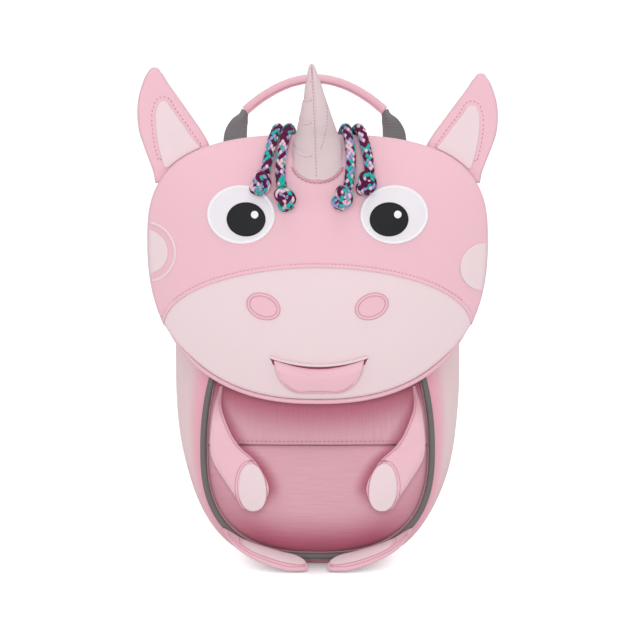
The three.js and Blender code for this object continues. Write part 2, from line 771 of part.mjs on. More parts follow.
// Horn: a stuffed cone whose foot follows the brow and whose sections soon turn level
function buildHorn() {
  const footTop = hornFoot + 1.5 * hornHalfWidth;
  const footMiddle = (hornFoot + footTop) / 2;
  const rings = hornRows.map(({ rise, half, lean, level }) => {
    const centreZ = mix(footMiddle, hornFoot + hornHeight, rise);
    const reach = half * hornHalfWidth;
    const tall = mix((footTop - hornFoot) / 2, 0, level) * half;
    return Array.from({ length: 14 }, (_, i) => {
      const angle = (2 * Math.PI * i) / 14;
      const x = hornLean * lean + reach * Math.cos(angle);
      const z = centreZ + tall * Math.sin(angle);
      const seatY = faceY(x, z) - hornSeat;
      const levelY = faceY(0, footMiddle) - hornSeat + hornDepth * reach * Math.sin(angle);
      return new THREE.Vector3(x, mix(seatY, levelY, level), z);
    });
  });
  for (const share of [0.5, 0]) {
    rings.unshift(rings.at(share ? 0 : 1).map((p) => {
      const [x, z] = [p.x * share, mix(footMiddle, p.z, share)];
      return new THREE.Vector3(x, faceY(x, z) - hornSeat, z);
    }));
  }
  add('horn', loft(rings), colours.hornCloth);
}

function buildHandle() {
  const span = handleHalfSpan;
  const rise = handleTop - handleFoot;
  const points = Array.from({ length: 9 }, (_, i) => {
    const share = mix(-1, 1, i / 8);
    const z = handleFoot + rise * (1 - Math.abs(share) ** handleFlatness);
    return new THREE.Vector3(share * span, handleY, z);
  });
  add('handle_sleeve', tube(points, handleThick, 20), colours.pinkCloth);
  for (const [side, sign] of [['left', -1], ['right', 1]]) {
    const top = new THREE.Vector3(sign * (span + 4 * seam), handleY, handleFoot - sleeveGap);
    const footZ = hoodTopZ(tabX - tabWidth / 2, handleY) + 4 * seam;
    const foot = new THREE.Vector3(sign * tabX, handleY, footZ + sleeveGap);
    const rows = [0, 0.25, 0.5, 0.75, 1].map((share) => {
      const p = top.clone().lerp(foot, share);
      p.x -= sign * tabSweep * Math.sin(Math.PI * share);
      return p;
    });
    const widths = [0.42, 0.78, 1, 1, 1];
    add(`handle_webbing_${side}`, sweep(rows, flatSection(tabWidth, tabThick), { widths }), colours.greyWeb);
  }
}

// Arms lie on the pocket, from the side seam to the hand
function buildArms() {
  for (const [side, sign] of [['left', -1], ['right', 1]]) {
    const rows = armRows.map(({ rise, outer, inner }) => ({
      z: mix(armLow, armHigh, rise), left: sign * outer * armOut, right: sign * inner * armOut,
    }));
    const back = (x, z) => (z < pocketTop ? pocketY(x, z) : panelY(x, z)) - armOff;
    const front = (x, z) => back(x, z) - armThick;
    add(`arm_${side}`, leaf(rows, 4, front, back), colours.pinkCloth);
    const hand = oval(sign * handX, handZ, handHalfWidth, handHalfHeight, 16, sign * handTurn);
    const patchBack = (x, z) => front(x, z) - 2 * seam;
    const patchFront = (x, z) => patchBack(x, z) - patchThick;
    add(`hand_patch_${side}`, pad(hand.points, hand.centre, 2, patchFront, patchBack), colours.paleCloth);
  }
}

// Feet: leaf-shaped flaps that fall forward from the bag's lower front corners to the floor
function buildFeet() {
  const rootY = bagFront - pipingWidth - 2 * seam;
  for (const [side, sign] of [['left', -1], ['right', 1]]) {
    const edge = ({ along, height, forward, fall }, share, lift) => {
      const x = sign * mix(footOut, footTip, along);
      const rearZ = footRootZ * height;
      const y = rootY - footForward * mix(0.12 * along, forward, share);
      return new THREE.Vector3(x, y, Math.max(footThick * 0.12, rearZ * mix(1, 1 - fall, share)) + lift);
    };
    const grid = (table, lift, from, to) =>
      table.map((row) => [0, 0.25, 0.5, 0.75, 1].map((share) => edge(row, mix(from, to, share), lift)));
    add(`foot_${side}`, sheet(grid(footRows, footThick, 0, 1), grid(footRows, 0, 0, 1)), colours.pinkCloth);
    const inner = footRows.slice(1, -1);
    const low = footThick + 2 * seam;
    add(`foot_patch_${side}`, sheet(grid(inner, low + patchThick, 0.15, 0.85), grid(inner, low, 0.15, 0.85)),
      colours.paleCloth);
  }
}

function buildMane() {
  const names = Object.keys(maneRoutes);
  names.forEach((name, i) => {
    const points = maneRoutes[name].map((p) => new THREE.Vector3(...p));
    add(name, tube(points, cordWidth, 16), colours.cordMix);
    const end = points.at(-1);
    const before = points.at(-2);
    const along = end.clone().sub(before).normalize();
    const start = end.clone().addScaledVector(along, seam);
    const tail = knotTails[name];
    const tailY = faceY(tail.x, tail.z) - knotStand * knotWidth;
    const axis = new THREE.Vector3(tail.x, tailY, tail.z).sub(start).normalize();
    const profile = knotRows.map(({ half, along: share }) =>
      new THREE.Vector2((half * knotWidth) / 2, share * knotLength));
    const knot = cleaned(new THREE.LatheGeometry(profile, 10));
    knot.applyQuaternion(new THREE.Quaternion().setFromUnitVectors(yAxis, axis));
    knot.translate(start.x, start.y, start.z);
    add(`mane_knot_${i + 1}`, knot, colours.cordMix);
  });
}

// Shoulder straps: padded from the back panel's top, webbing with a slider down to its lower corners
function buildStraps() {
  const rest = padBack + seam + strapThick / 2;
  for (const [side, sign] of [['left', -1], ['right', 1]]) {
    const points = Array.from({ length: 11 }, (_, i) => {
      const share = i / 10;
      const x = mix(strapTopX, strapEndX, Math.sin((Math.PI / 2) * share));
      const y = rest + strapBow * Math.sin(Math.PI * Math.min(1, share * 0.92 + 0.08) ** 1.1) ** 0.8;
      return new THREE.Vector3(sign * x, i === 0 ? rest : y, mix(strapTopZ, strapEndZ, share));
    });
    const section = ovalSection(strapWidth / 2, strapThick / 2, 8);
    add(`shoulder_strap_${side}`, sweep(points, section), colours.pinkCloth);
    const end = points.at(-1);
    const sliderTop = end.z - 0.3 * strapThick - seam;
    const frame = manifoldOf(block(-sliderWidth / 2, sliderWidth / 2, -sliderThick / 2, sliderThick / 2,
      -sliderHeight, 0));
    const slot = webWidth / 2 + seam;
    const [slotLow, slotHigh] = [-0.8 * sliderHeight, -0.2 * sliderHeight];
    const hole = manifoldOf(block(-slot, slot, -sliderThick, sliderThick, slotLow, slotHigh));
    const slider = geometryOf(frame.subtract(hole));
    slider.translate(end.x, end.y, sliderTop);
    add(`strap_slider_${side}`, slider, colours.greyWeb, 0.5);
    const webTop = sliderTop - sliderHeight - 5 * seam;
    const anchorY = padBack + seam + webThick / 2;
    const web = [0, 0.3, 0.6, 0.85, 1].map((share) => {
      const y = mix(end.y, anchorY, Math.sin((Math.PI / 2) * share));
      return new THREE.Vector3(end.x - sign * webLean * share, y, mix(webTop, webEndZ, share));
    });
    add(`strap_webbing_${side}`, sweep(web, flatSection(webWidth, webThick)), colours.greyWeb);
  }
}

add('bag_body', bagShell(), colours.sideCloth);
buildFront();
buildBack();
buildHead();
buildHood();
buildFace();
buildEars();
buildHorn();
buildHandle();
buildArms();
buildFeet();
buildMane();
buildStraps();

export default bag;
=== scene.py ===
import json
import math

import bpy
from mathutils import Matrix, Vector, kdtree, noise

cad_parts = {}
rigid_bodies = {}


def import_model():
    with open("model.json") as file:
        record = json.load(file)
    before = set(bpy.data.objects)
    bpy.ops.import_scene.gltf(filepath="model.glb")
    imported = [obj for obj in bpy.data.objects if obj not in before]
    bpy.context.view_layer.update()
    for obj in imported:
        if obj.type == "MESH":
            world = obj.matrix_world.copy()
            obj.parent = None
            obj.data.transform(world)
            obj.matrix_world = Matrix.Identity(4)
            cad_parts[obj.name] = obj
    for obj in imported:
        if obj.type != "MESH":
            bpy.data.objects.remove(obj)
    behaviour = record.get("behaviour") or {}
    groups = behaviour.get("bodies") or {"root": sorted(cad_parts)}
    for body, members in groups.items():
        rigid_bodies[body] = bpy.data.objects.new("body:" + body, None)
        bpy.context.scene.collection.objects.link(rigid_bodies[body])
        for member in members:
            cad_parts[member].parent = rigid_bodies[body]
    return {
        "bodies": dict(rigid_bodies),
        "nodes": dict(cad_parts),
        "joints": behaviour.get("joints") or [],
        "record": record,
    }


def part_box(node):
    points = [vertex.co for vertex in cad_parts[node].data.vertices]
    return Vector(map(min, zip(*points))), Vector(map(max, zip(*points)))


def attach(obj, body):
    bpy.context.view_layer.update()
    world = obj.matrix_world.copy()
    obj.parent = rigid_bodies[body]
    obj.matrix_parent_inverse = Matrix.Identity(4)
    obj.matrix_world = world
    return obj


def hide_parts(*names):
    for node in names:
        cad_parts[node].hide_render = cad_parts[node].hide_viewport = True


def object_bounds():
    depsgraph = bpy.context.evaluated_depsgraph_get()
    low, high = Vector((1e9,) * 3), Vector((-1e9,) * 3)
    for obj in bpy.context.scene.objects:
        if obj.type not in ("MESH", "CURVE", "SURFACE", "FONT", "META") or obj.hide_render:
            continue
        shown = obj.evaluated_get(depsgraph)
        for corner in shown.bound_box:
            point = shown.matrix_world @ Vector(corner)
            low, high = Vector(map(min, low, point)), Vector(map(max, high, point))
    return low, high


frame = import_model()
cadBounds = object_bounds()
bpy.ops.object.select_all(action="DESELECT")
scene = bpy.context.scene
mm = 0.001
print("frame loaded")

# Camera at the photograph's angle: a long lens a little above the bag

shot = {"target": (1.4, -60, 146.9), "elevation": 6.0, "distance": 2000, "pixel": 0.58}


def makeCamera(shot):
    lift = math.radians(shot["elevation"])
    back = Vector((0, -math.cos(lift), math.sin(lift)))
    bpy.ops.object.camera_add(location=(Vector(shot["target"]) + back * shot["distance"]) * mm)
    camera = bpy.context.object
    camera.rotation_euler = (-back).to_track_quat("-Z", "Y").to_euler()
    camera.data.sensor_width = 36
    camera.data.lens = 36 * shot["distance"] / (640 * shot["pixel"])
    scene.camera = camera


makeCamera(shot)


# Lights and floor: a pale studio with large soft lamps in front and above

def makeLamp(name, place, aim, size, watts, colour=(1, 1, 1)):
    bpy.ops.object.light_add(type="AREA", location=Vector(place) * mm)
    lamp = bpy.context.object
    lamp.name = name
    lamp.data.shape = "DISK"
    lamp.data.size = size * mm
    lamp.data.energy = watts
    lamp.data.color = colour
    lamp.rotation_euler = (Vector(aim) - Vector(place)).to_track_quat("-Z", "Y").to_euler()


def makeStudio():
    scene.view_settings.view_transform = "Standard"
    world = bpy.data.worlds.new("studio")
    scene.world = world
    world.use_nodes = True
    world.node_tree.nodes["Background"].inputs["Color"].default_value = (1, 0.99, 0.985, 1)
    world.node_tree.nodes["Background"].inputs["Strength"].default_value = 0.5
    middle = (0, 0, 140)
    makeLamp("frontLamp", (-60, -1500, 620), middle, 1000, 8.2)
    makeLamp("topLamp", (100, -100, 1500), middle, 1100, 6.2)
    makeLamp("rightLamp", (1200, -800, 420), middle, 900, 1.8)
    makeLamp("leftLamp", (-1200, -800, 420), middle, 900, 1.8)
    bpy.ops.mesh.primitive_plane_add(size=60, location=(0, 0, cadBounds[0].z))
    floor = bpy.context.object
    floor.name = "floor"
    paper = bpy.data.materials.new("paper")
    paper.use_nodes = True
    shader = paper.node_tree.nodes["Principled BSDF"]
    shader.inputs["Base Color"].default_value = (0.88, 0.92, 0.91, 1)
    shader.inputs["Roughness"].default_value = 0.9
    shader.inputs["Specular IOR Level"].default_value = 0.1
    shader.inputs["Emission Color"].default_value = (1, 1, 1, 1)
    # the paper glows a little to the camera, more so far off, so that it stays white and keeps the near shadows
    nodes, links = paper.node_tree.nodes, paper.node_tree.links
    coords = nodes.new("ShaderNodeTexCoord")
    spread = nodes.new("ShaderNodeVectorMath")
    spread.operation = "MULTIPLY_ADD"
    spread.inputs[1].default_value = (1.75, 1.1, 1)
    spread.inputs[2].default_value = (0, 0.03, 0)
    links.new(coords.outputs["Object"], spread.inputs[0])
    away = nodes.new("ShaderNodeVectorMath")
    away.operation = "LENGTH"
    links.new(spread.outputs["Vector"], away.inputs[0])
    glow = nodes.new("ShaderNodeMapRange")
    glow.inputs["From Min"].default_value = 0.045
    glow.inputs["From Max"].default_value = 0.082
    glow.inputs["To Min"].default_value = 0.22
    glow.inputs["To Max"].default_value = 0.7
    links.new(away.outputs["Value"], glow.inputs["Value"])
    seen = nodes.new("ShaderNodeLightPath")
    shown = nodes.new("ShaderNodeMath")
    shown.operation = "MULTIPLY"
    links.new(seen.outputs["Is Camera Ray"], shown.inputs[0])
    links.new(glow.outputs[0], shown.inputs[1])
    links.new(shown.outputs[0], shader.inputs["Emission Strength"])
    floor.data.materials.append(paper)


makeStudio()


# Small tools for shaping. Sizes are in millimetres; fromGrid and stitchRow turn them into metres.

def mix(a, b, share):
    return a + (b - a) * share


def clamp(value, low=0.0, high=1.0):
    return max(low, min(high, value))


def ease(low, high, value):
    share = clamp((value - low) / (high - low))
    return share * share * (3 - 2 * share)


def power(value, exponent):
    return math.copysign(abs(value) ** exponent, value)


def boxOf(node):
    low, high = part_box(node)
    return Vector(low) / mm, Vector(high) / mm


def between(rows, by, key, place):
    # smooth value between the rows of a table
    last = len(rows) - 1
    way = math.copysign(1, rows[last][by] - rows[0][by])
    i = 0
    while i < last - 1 and (place - rows[i + 1][by]) * way > 0:
        i += 1
    gap = rows[i + 1][by] - rows[i][by]
    share = clamp((place - rows[i][by]) / gap)

    def slope(k):
        a, b = max(0, k - 1), min(last, k + 1)
        return (rows[b][key] - rows[a][key]) / (rows[b][by] - rows[a][by])

    a, b = rows[i][key], rows[i + 1][key]
    sa, sb = slope(i) * gap, slope(i + 1) * gap
    s2, s3 = share * share, share ** 3
    return a * (2 * s3 - 3 * s2 + 1) + sa * (s3 - 2 * s2 + share) + b * (3 * s2 - 2 * s3) + sb * (s3 - s2)


def outlinePoint(shape, angle):
    # a round outline seen from the front, fuller or slimmer above and below its widest place
    rising = math.sin(angle) >= 0
    fullness = shape["up"] if rising else shape["down"]
    reach = shape["high"] - shape["wide"] if rising else shape["wide"] - shape["low"]
    x = shape["half"] * power(math.cos(angle), 2 / fullness)
    return x, shape["wide"] + reach * power(math.sin(angle), 2 / fullness)


def outlineShare(shape, x, z):
    rising = z >= shape["wide"]
    fullness = shape["up"] if rising else shape["down"]
    reach = shape["high"] - shape["wide"] if rising else shape["wide"] - shape["low"]
    total = abs(x / shape["half"]) ** fullness + abs((z - shape["wide"]) / reach) ** fullness
    return total ** (1 / fullness)


def halfWidthAt(shape, z):
    rising = z >= shape["wide"]
    fullness = shape["up"] if rising else shape["down"]
    reach = shape["high"] - shape["wide"] if rising else shape["wide"] - shape["low"]
    return shape["half"] * (1 - clamp(abs((z - shape["wide"]) / reach)) ** fullness) ** (1 / fullness)


def inset(shape, by):
    return {**shape, "half": shape["half"] - by, "low": shape["low"] + by, "high": shape["high"] - by}


def evenly(dense, step=None, count=None, closed=False):
    # the same line cut into even steps
    dense = [Vector(p) for p in dense]
    if closed:
        dense.append(dense[0])
    length = sum((b - a).length for a, b in zip(dense, dense[1:]))
    count = count or max(1, round(length / step))
    line, i, gone = [dense[0]], 0, 0.0
    for k in range(1, count):
        want = length * k / count
        while gone + (dense[i + 1] - dense[i]).length < want:
            gone += (dense[i + 1] - dense[i]).length
            i += 1
        line.append(dense[i].lerp(dense[i + 1], (want - gone) / (dense[i + 1] - dense[i]).length))
    return line if closed else [*line, dense[-1]]


def curved(points, closed=False, cuts=12):
    # a smooth line through all the points
    points = [Vector(p) for p in points]
    if closed:
        ends = [points[-1], *points, points[0], points[1]]
    else:
        ends = [2 * points[0] - points[1], *points, 2 * points[-1] - points[-2]]
    dense = []
    for a, b, c, d in zip(ends, ends[1:], ends[2:], ends[3:]):
        for k in range(cuts):
            t = k / cuts
            dense.append(0.5 * (2 * b + (c - a) * t + (2 * a - 5 * b + 4 * c - d) * t * t
                                + (3 * b - a - 3 * c + d) * t ** 3))
    return dense if closed else [*dense, points[-1]]


def outlineOf(shape, count=160):
    return evenly([outlinePoint(shape, 2 * math.pi * k / 720) for k in range(720)], count=count, closed=True)


def ovalOutline(x, z, halfWidth, halfHeight, turn=0.0, count=72, fullness=2.0):
    c, s = math.cos(math.radians(turn)), math.sin(math.radians(turn))
    points = []
    for k in range(count * 4):
        a = 2 * math.pi * k / (count * 4)
        px, pz = halfWidth * power(math.cos(a), 2 / fullness), halfHeight * power(math.sin(a), 2 / fullness)
        points.append((x + px * c - pz * s, z + px * s + pz * c))
    return evenly(points, count=count, closed=True)


def wave(x, y, z, scale, seed=0.0):
    return noise.noise(Vector((x * scale, y * scale, z * scale + seed)))


def editAll(piece, *steps):
    bpy.ops.object.select_all(action="DESELECT")
    piece.select_set(True)
    bpy.context.view_layer.objects.active = piece
    bpy.ops.object.mode_set(mode="EDIT")
    bpy.ops.mesh.select_all(action="SELECT")
    for step in steps:
        step()
    bpy.ops.object.mode_set(mode="OBJECT")


def mergeDoubles():
    bpy.ops.mesh.remove_doubles(threshold=0.000005)


def facesOut():
    bpy.ops.mesh.normals_make_consistent(inside=False)


def fromGrid(name, across, along, place, closed=True):
    # a flat grid whose points are then pulled to their places on the piece
    bpy.ops.object.select_all(action="DESELECT")
    bpy.ops.mesh.primitive_grid_add(x_subdivisions=across, y_subdivisions=along, size=2)
    piece = bpy.context.object
    piece.name = piece.data.name = name
    for vertex in piece.data.vertices:
        vertex.co = Vector(place((vertex.co.x + 1) / 2, (vertex.co.y + 1) / 2)) * mm
    piece.data.update()
    editAll(piece, mergeDoubles, *([facesOut] if closed else []))
    return piece


def applied(piece, kind, **settings):
    modifier = piece.modifiers.new(kind.title(), kind)
    for key, value in settings.items():
        setattr(modifier, key, value)
    bpy.ops.object.select_all(action="DESELECT")
    piece.select_set(True)
    bpy.context.view_layer.objects.active = piece
    bpy.ops.object.modifier_apply(modifier=modifier.name)
    return piece


def smooth(piece, angle=50):
    bpy.ops.object.select_all(action="DESELECT")
    piece.select_set(True)
    bpy.context.view_layer.objects.active = piece
    bpy.ops.object.shade_smooth_by_angle(angle=math.radians(angle))


def finished(piece, material, replaced=()):
    smooth(piece)
    piece.data.materials.clear()
    piece.data.materials.append(material)
    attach(piece, "root")
    if replaced:
        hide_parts(*replaced)
    return piece


def framesAlong(points, closed=False):
    # a turning frame carried along a line without twisting
    count = len(points)
    rows = []
    across = None
    for i, point in enumerate(points):
        before = points[i - 1] if closed or i else point
        after = points[(i + 1) % count] if closed or i < count - 1 else point
        along = (after - before).normalized()
        if across is None:
            across = along.cross(Vector((0, 1, 0)) if abs(along.y) < 0.9 else Vector((1, 0, 0)))
        across = (across - along * across.dot(along)).normalized()
        rows.append((point, along, across, along.cross(across)))
    return rows


def tube(name, points, radius, sides=12, closed=False, section=None):
    # section gives how wide and how thick the tube is at a share of its length
    rows = framesAlong([Vector(p) for p in points], closed)
    if closed:
        rows.append(rows[0])
    last = len(rows) - 1

    def place(u, v):
        k = round(v * last)
        point, along, across, out = rows[k]
        ends = 1 if closed else math.sqrt(max(0, 1 - abs(2 * k / last - 1) ** (last * 0.8)))
        wide, thick = section(k / last, u) if section else (radius, radius)
        a = 2 * math.pi * u
        return point + across * math.cos(a) * wide * ends + out * math.sin(a) * thick * ends

    return fromGrid(name, sides, last, place)


def edgeFinder(outline, closed=True):
    # distance of a point to an outline or a line
    dense = evenly(outline, 0.25, closed=closed)
    tree = kdtree.KDTree(len(dense))
    for i, p in enumerate(dense):
        tree.insert((p.x, p.y, 0), i)
    tree.balance()
    return lambda x, z: tree.find((x, z, 0))[2]


def layer(name, outline, centre, base, height, rings=24):
    # a cloth or padded layer inside an outline: flat on its base, height(d, x, z) thick at d from its edge
    count = len(outline)
    middle = Vector(centre)
    toEdge = edgeFinder(outline)
    backShares = [0, 0.35, 0.7, 0.9, 1]
    frontShares = [1 - (k / rings) ** 1.7 for k in range(rings + 1)]
    last = len(backShares) + len(frontShares) - 1

    def place(u, v):
        i, k = round(u * count) % count, round(v * last)
        atBack = k < len(backShares)
        share = backShares[k] if atBack else frontShares[k - len(backShares)]
        p = middle.lerp(outline[i], share)
        d = 0 if share == 1 else toEdge(p.x, p.y)
        return p.x, base(p.x, p.y) - (0 if atBack else height(d, p.x, p.y)), p.y

    return fromGrid(name, count, last, place)


def rounded(thick, roll, bulge=0.0, far=12.0):
    # thickness of a pad whose edge rolls over within a width, and which swells a little towards its middle
    def height(d, x, z):
        near = 1 - min(1, d / roll)
        return thick * math.sqrt(1 - near * near) + bulge * ease(0, far, d)
    return height


def stitchRow(name, lines, material, length=1.6, gap=1.0, width=0.45, out=(0, -1, 0)):
    # one stitch, a long bead of thread, modelled once and copied along each line
    bpy.ops.object.select_all(action="DESELECT")
    bpy.ops.mesh.primitive_uv_sphere_add(segments=6, ring_count=4, radius=0.5)
    bead = bpy.context.object
    spans = []
    for line in lines:
        row = evenly(line, length + gap)
        spans.extend(zip(row, row[1:]))
    copies = []
    for a, b in spans:
        along = (b - a).normalized()
        facing = Vector(out)
        up = (facing - along * facing.dot(along)).normalized()
        turn = Matrix((along, along.cross(up), up)).transposed().to_4x4()
        stitch = bead.copy()
        stitch.data = bead.data.copy()
        scene.collection.objects.link(stitch)
        stitch.matrix_world = (Matrix.Translation((a + b) / 2 * mm) @ turn
                               @ Matrix.Diagonal((length * mm, width * mm, width * mm, 1)))
        copies.append(stitch)
    bpy.data.objects.remove(bead)
    bpy.ops.object.select_all(action="DESELECT")
    for stitch in copies:
        stitch.select_set(True)
    row = copies[0]
    bpy.context.view_layer.objects.active = row
    bpy.ops.object.join()
    bpy.ops.object.transform_apply(location=True, rotation=True, scale=True)
    row.name = row.data.name = name
    editAll(row, facesOut)
    return finished(row, material)


def seamTube(name, lines, material, radius=0.25):
    # thin sewn seams, one piece for all the lines
    parts = [tube(f"{name}_{i}", evenly(line, 0.8), radius, 6) for i, line in enumerate(lines)]
    bpy.ops.object.select_all(action="DESELECT")
    for part in parts:
        part.select_set(True)
    bpy.context.view_layer.objects.active = parts[0]
    if len(parts) > 1:
        bpy.ops.object.join()
    parts[0].name = parts[0].data.name = name
    return finished(parts[0], material)


def puffed(pad, carried=(), cell=3.0, cap=1.5, pressure=4.0, frames=16):
    # cloth simulation swells a copy of the pad; the pad and what is sewn on it follow, no further than the cap
    soft = pad.copy()
    soft.data = pad.data.copy()
    scene.collection.objects.link(soft)
    applied(soft, "REMESH", mode="VOXEL", voxel_size=cell * mm)
    rest = [vertex.co.copy() for vertex in soft.data.vertices]
    cloth = soft.modifiers.new("Cloth", "CLOTH")
    cloth.settings.quality = 5
    cloth.settings.mass = 0.15
    cloth.settings.tension_stiffness = 12
    cloth.settings.compression_stiffness = 8
    cloth.settings.bending_stiffness = 0.6
    cloth.settings.use_pressure = True
    cloth.settings.uniform_pressure_force = pressure
    cloth.settings.effector_weights.gravity = 0
    cloth.point_cache.frame_start, cloth.point_cache.frame_end = 1, frames
    for frame in range(1, frames + 1):
        scene.frame_set(frame)
    swollen = soft.evaluated_get(bpy.context.evaluated_depsgraph_get()).data.vertices
    moves = [after.co - before for before, after in zip(rest, swollen)]
    tree = kdtree.KDTree(len(rest))
    for i, place in enumerate(rest):
        tree.insert(place, i)
    tree.balance()
    limit = cap * mm
    for piece in (pad, *carried):
        for vertex in piece.data.vertices:
            near = tree.find_n(vertex.co, 6)
            weights = [1 / (distance + 0.0005) for place, i, distance in near]
            move = sum((moves[i] * w for (place, i, distance), w in zip(near, weights)), Vector()) / sum(weights)
            if move.length > limit:
                move = move.normalized() * limit
            vertex.co += move
        piece.data.update()
    bpy.data.objects.remove(soft)
    scene.frame_set(1)


def paintedShade(piece, amount):
    # painted shade: how far the cloth's colour is darkened at each point, 0 plain, 1 deepest
    deep = piece.data.attributes.new("deep", "FLOAT", "POINT")
    for vertex in piece.data.vertices:
        x, y, z = vertex.co / mm
        deep.data[vertex.index].value = clamp(amount(x, y, z))
    return piece


# Cloth and thread finishes

def socketed(group, name, kind, default=None, out=False):
    socket = group.interface.new_socket(name=name, in_out="OUTPUT" if out else "INPUT", socket_type=kind)
    if default is not None:
        socket.default_value = default
    return socket


def clothGrainGroup():
    # fine woven or knitted grain with slow changes of shade, from Object coordinates
    group = bpy.data.node_groups.new("clothGrain", "ShaderNodeTree")
    socketed(group, "Colour", "NodeSocketColor", (0.8, 0.4, 0.5, 1))
    socketed(group, "Shade", "NodeSocketColor", (0.7, 0.3, 0.4, 1))
    socketed(group, "Threads per mm", "NodeSocketFloat", 1.6)
    socketed(group, "Mottle", "NodeSocketFloat", 0.4)
    socketed(group, "Grain", "NodeSocketFloat", 0.25)
    socketed(group, "Colour", "NodeSocketColor", out=True)
    socketed(group, "Roughness", "NodeSocketFloat", out=True)
    socketed(group, "Height", "NodeSocketFloat", out=True)
    nodes, links = group.nodes, group.links
    given = nodes.new("NodeGroupInput")
    made = nodes.new("NodeGroupOutput")
    coords = nodes.new("ShaderNodeTexCoord")

    def maths(operation, a, b=None):
        node = nodes.new("ShaderNodeMath")
        node.operation = operation
        for i, value in enumerate((a, b)):
            if value is None:
                continue
            if isinstance(value, (int, float)):
                node.inputs[i].default_value = value
            else:
                links.new(value, node.inputs[i])
        return node.outputs[0]

    scaled = nodes.new("ShaderNodeVectorMath")
    scaled.operation = "SCALE"
    links.new(coords.outputs["Object"], scaled.inputs[0])
    links.new(maths("MULTIPLY", given.outputs["Threads per mm"], 1000 * 2 * math.pi), scaled.inputs["Scale"])
    axes = nodes.new("ShaderNodeSeparateXYZ")
    links.new(scaled.outputs[0], axes.inputs[0])
    waves = [maths("SINE", axes.outputs[i]) for i in range(3)]
    weave = maths("ADD", maths("MULTIPLY", waves[0], waves[2]), maths("MULTIPLY", waves[1], waves[2]))
    fine = nodes.new("ShaderNodeTexNoise")
    fine.inputs["Scale"].default_value = 2600
    fine.inputs["Detail"].default_value = 3
    slow = nodes.new("ShaderNodeTexNoise")
    slow.inputs["Scale"].default_value = 28
    slow.inputs["Detail"].default_value = 5
    for texture in (fine, slow):
        links.new(coords.outputs["Object"], texture.inputs["Vector"])
    height = maths("ADD", maths("MULTIPLY", weave, 0.35), maths("MULTIPLY", fine.outputs["Fac"], 0.8))
    patchy = maths("MULTIPLY", maths("SUBTRACT", slow.outputs["Fac"], 0.5), given.outputs["Mottle"])
    grainy = maths("MULTIPLY", maths("SUBTRACT", height, 0.4), given.outputs["Grain"])
    amount = maths("SUBTRACT", maths("ADD", patchy, 0.35), grainy)
    blend = nodes.new("ShaderNodeMix")
    blend.data_type = "RGBA"
    blend.clamp_factor = True
    links.new(amount, blend.inputs["Factor"])
    links.new(given.outputs["Colour"], blend.inputs["A"])
    links.new(given.outputs["Shade"], blend.inputs["B"])
    links.new(blend.outputs["Result"], made.inputs["Colour"])
    links.new(maths("ADD", maths("MULTIPLY", fine.outputs["Fac"], 0.2), 0.7), made.inputs["Roughness"])
    links.new(height, made.inputs["Height"])
    return group


clothGrain = clothGrainGroup()


def shade(colour, share):
    return tuple(c * share for c in colour[:3]) + (1,)


def clothMaterial(name, colour, depth=0.82, threads=1.6, mottle=0.5, grain=0.25, bump=0.05, sheen=0.25, rough=None,
                  deep=(0.62, 0.4, 0.46), lines=None):
    material = bpy.data.materials.new(name)
    material.use_nodes = True
    nodes, links = material.node_tree.nodes, material.node_tree.links
    shader = nodes["Principled BSDF"]
    cloth = nodes.new("ShaderNodeGroup")
    cloth.node_tree = clothGrain
    cloth.inputs["Colour"].default_value = (*colour, 1)
    cloth.inputs["Shade"].default_value = shade(colour, depth)
    cloth.inputs["Threads per mm"].default_value = threads
    cloth.inputs["Mottle"].default_value = mottle
    cloth.inputs["Grain"].default_value = grain
    bumped = nodes.new("ShaderNodeBump")
    bumped.inputs["Strength"].default_value = 0.6
    bumped.inputs["Distance"].default_value = bump * mm
    height = cloth.outputs["Height"]
    colour = cloth.outputs["Colour"]
    if lines:
        # long fine lines: threads or small creases, stretched along one way
        coords = nodes.new("ShaderNodeTexCoord")
        stretched = nodes.new("ShaderNodeMapping")
        stretched.inputs["Scale"].default_value = lines
        streaks = nodes.new("ShaderNodeTexNoise")
        streaks.inputs["Scale"].default_value = 1
        streaks.inputs["Detail"].default_value = 2
        tone = nodes.new("ShaderNodeMapRange")
        tone.inputs["From Min"].default_value = 0.3
        tone.inputs["From Max"].default_value = 0.7
        tone.inputs["To Min"].default_value = 0.95
        tone.inputs["To Max"].default_value = 1.03
        toned = nodes.new("ShaderNodeMix")
        toned.data_type = "RGBA"
        toned.blend_type = "MULTIPLY"
        toned.inputs["Factor"].default_value = 1
        raised = nodes.new("ShaderNodeMath")
        raised.operation = "MULTIPLY_ADD"
        raised.inputs[1].default_value = 1.2
        links.new(coords.outputs["Object"], stretched.inputs["Vector"])
        links.new(stretched.outputs["Vector"], streaks.inputs["Vector"])
        links.new(streaks.outputs["Fac"], tone.inputs["Value"])
        links.new(colour, toned.inputs["A"])
        links.new(tone.outputs["Result"], toned.inputs["B"])
        links.new(streaks.outputs["Fac"], raised.inputs[0])
        links.new(height, raised.inputs[2])
        colour, height = toned.outputs["Result"], raised.outputs[0]
    # painted shade: where the piece's "deep" attribute is painted, the colour is multiplied towards the deep tint
    painted = nodes.new("ShaderNodeAttribute")
    painted.attribute_name = "deep"
    shadeTinting = nodes.new("ShaderNodeMix")
    shadeTinting.data_type = "RGBA"
    shadeTinting.blend_type = "MULTIPLY"
    shadeTinting.clamp_factor = True
    shadeTinting.inputs["B"].default_value = (*deep, 1)
    links.new(painted.outputs["Fac"], shadeTinting.inputs["Factor"])
    links.new(colour, shadeTinting.inputs["A"])
    links.new(shadeTinting.outputs["Result"], shader.inputs["Base Color"])
    if rough is None:
        links.new(cloth.outputs["Roughness"], shader.inputs["Roughness"])
    else:
        shader.inputs["Roughness"].default_value = rough
    links.new(height, bumped.inputs["Height"])
    links.new(bumped.outputs["Normal"], shader.inputs["Normal"])
    shader.inputs["Sheen Weight"].default_value = sheen
    shader.inputs["Sheen Roughness"].default_value = 0.5
    shader.inputs["Specular IOR Level"].default_value = 0.25
    return material
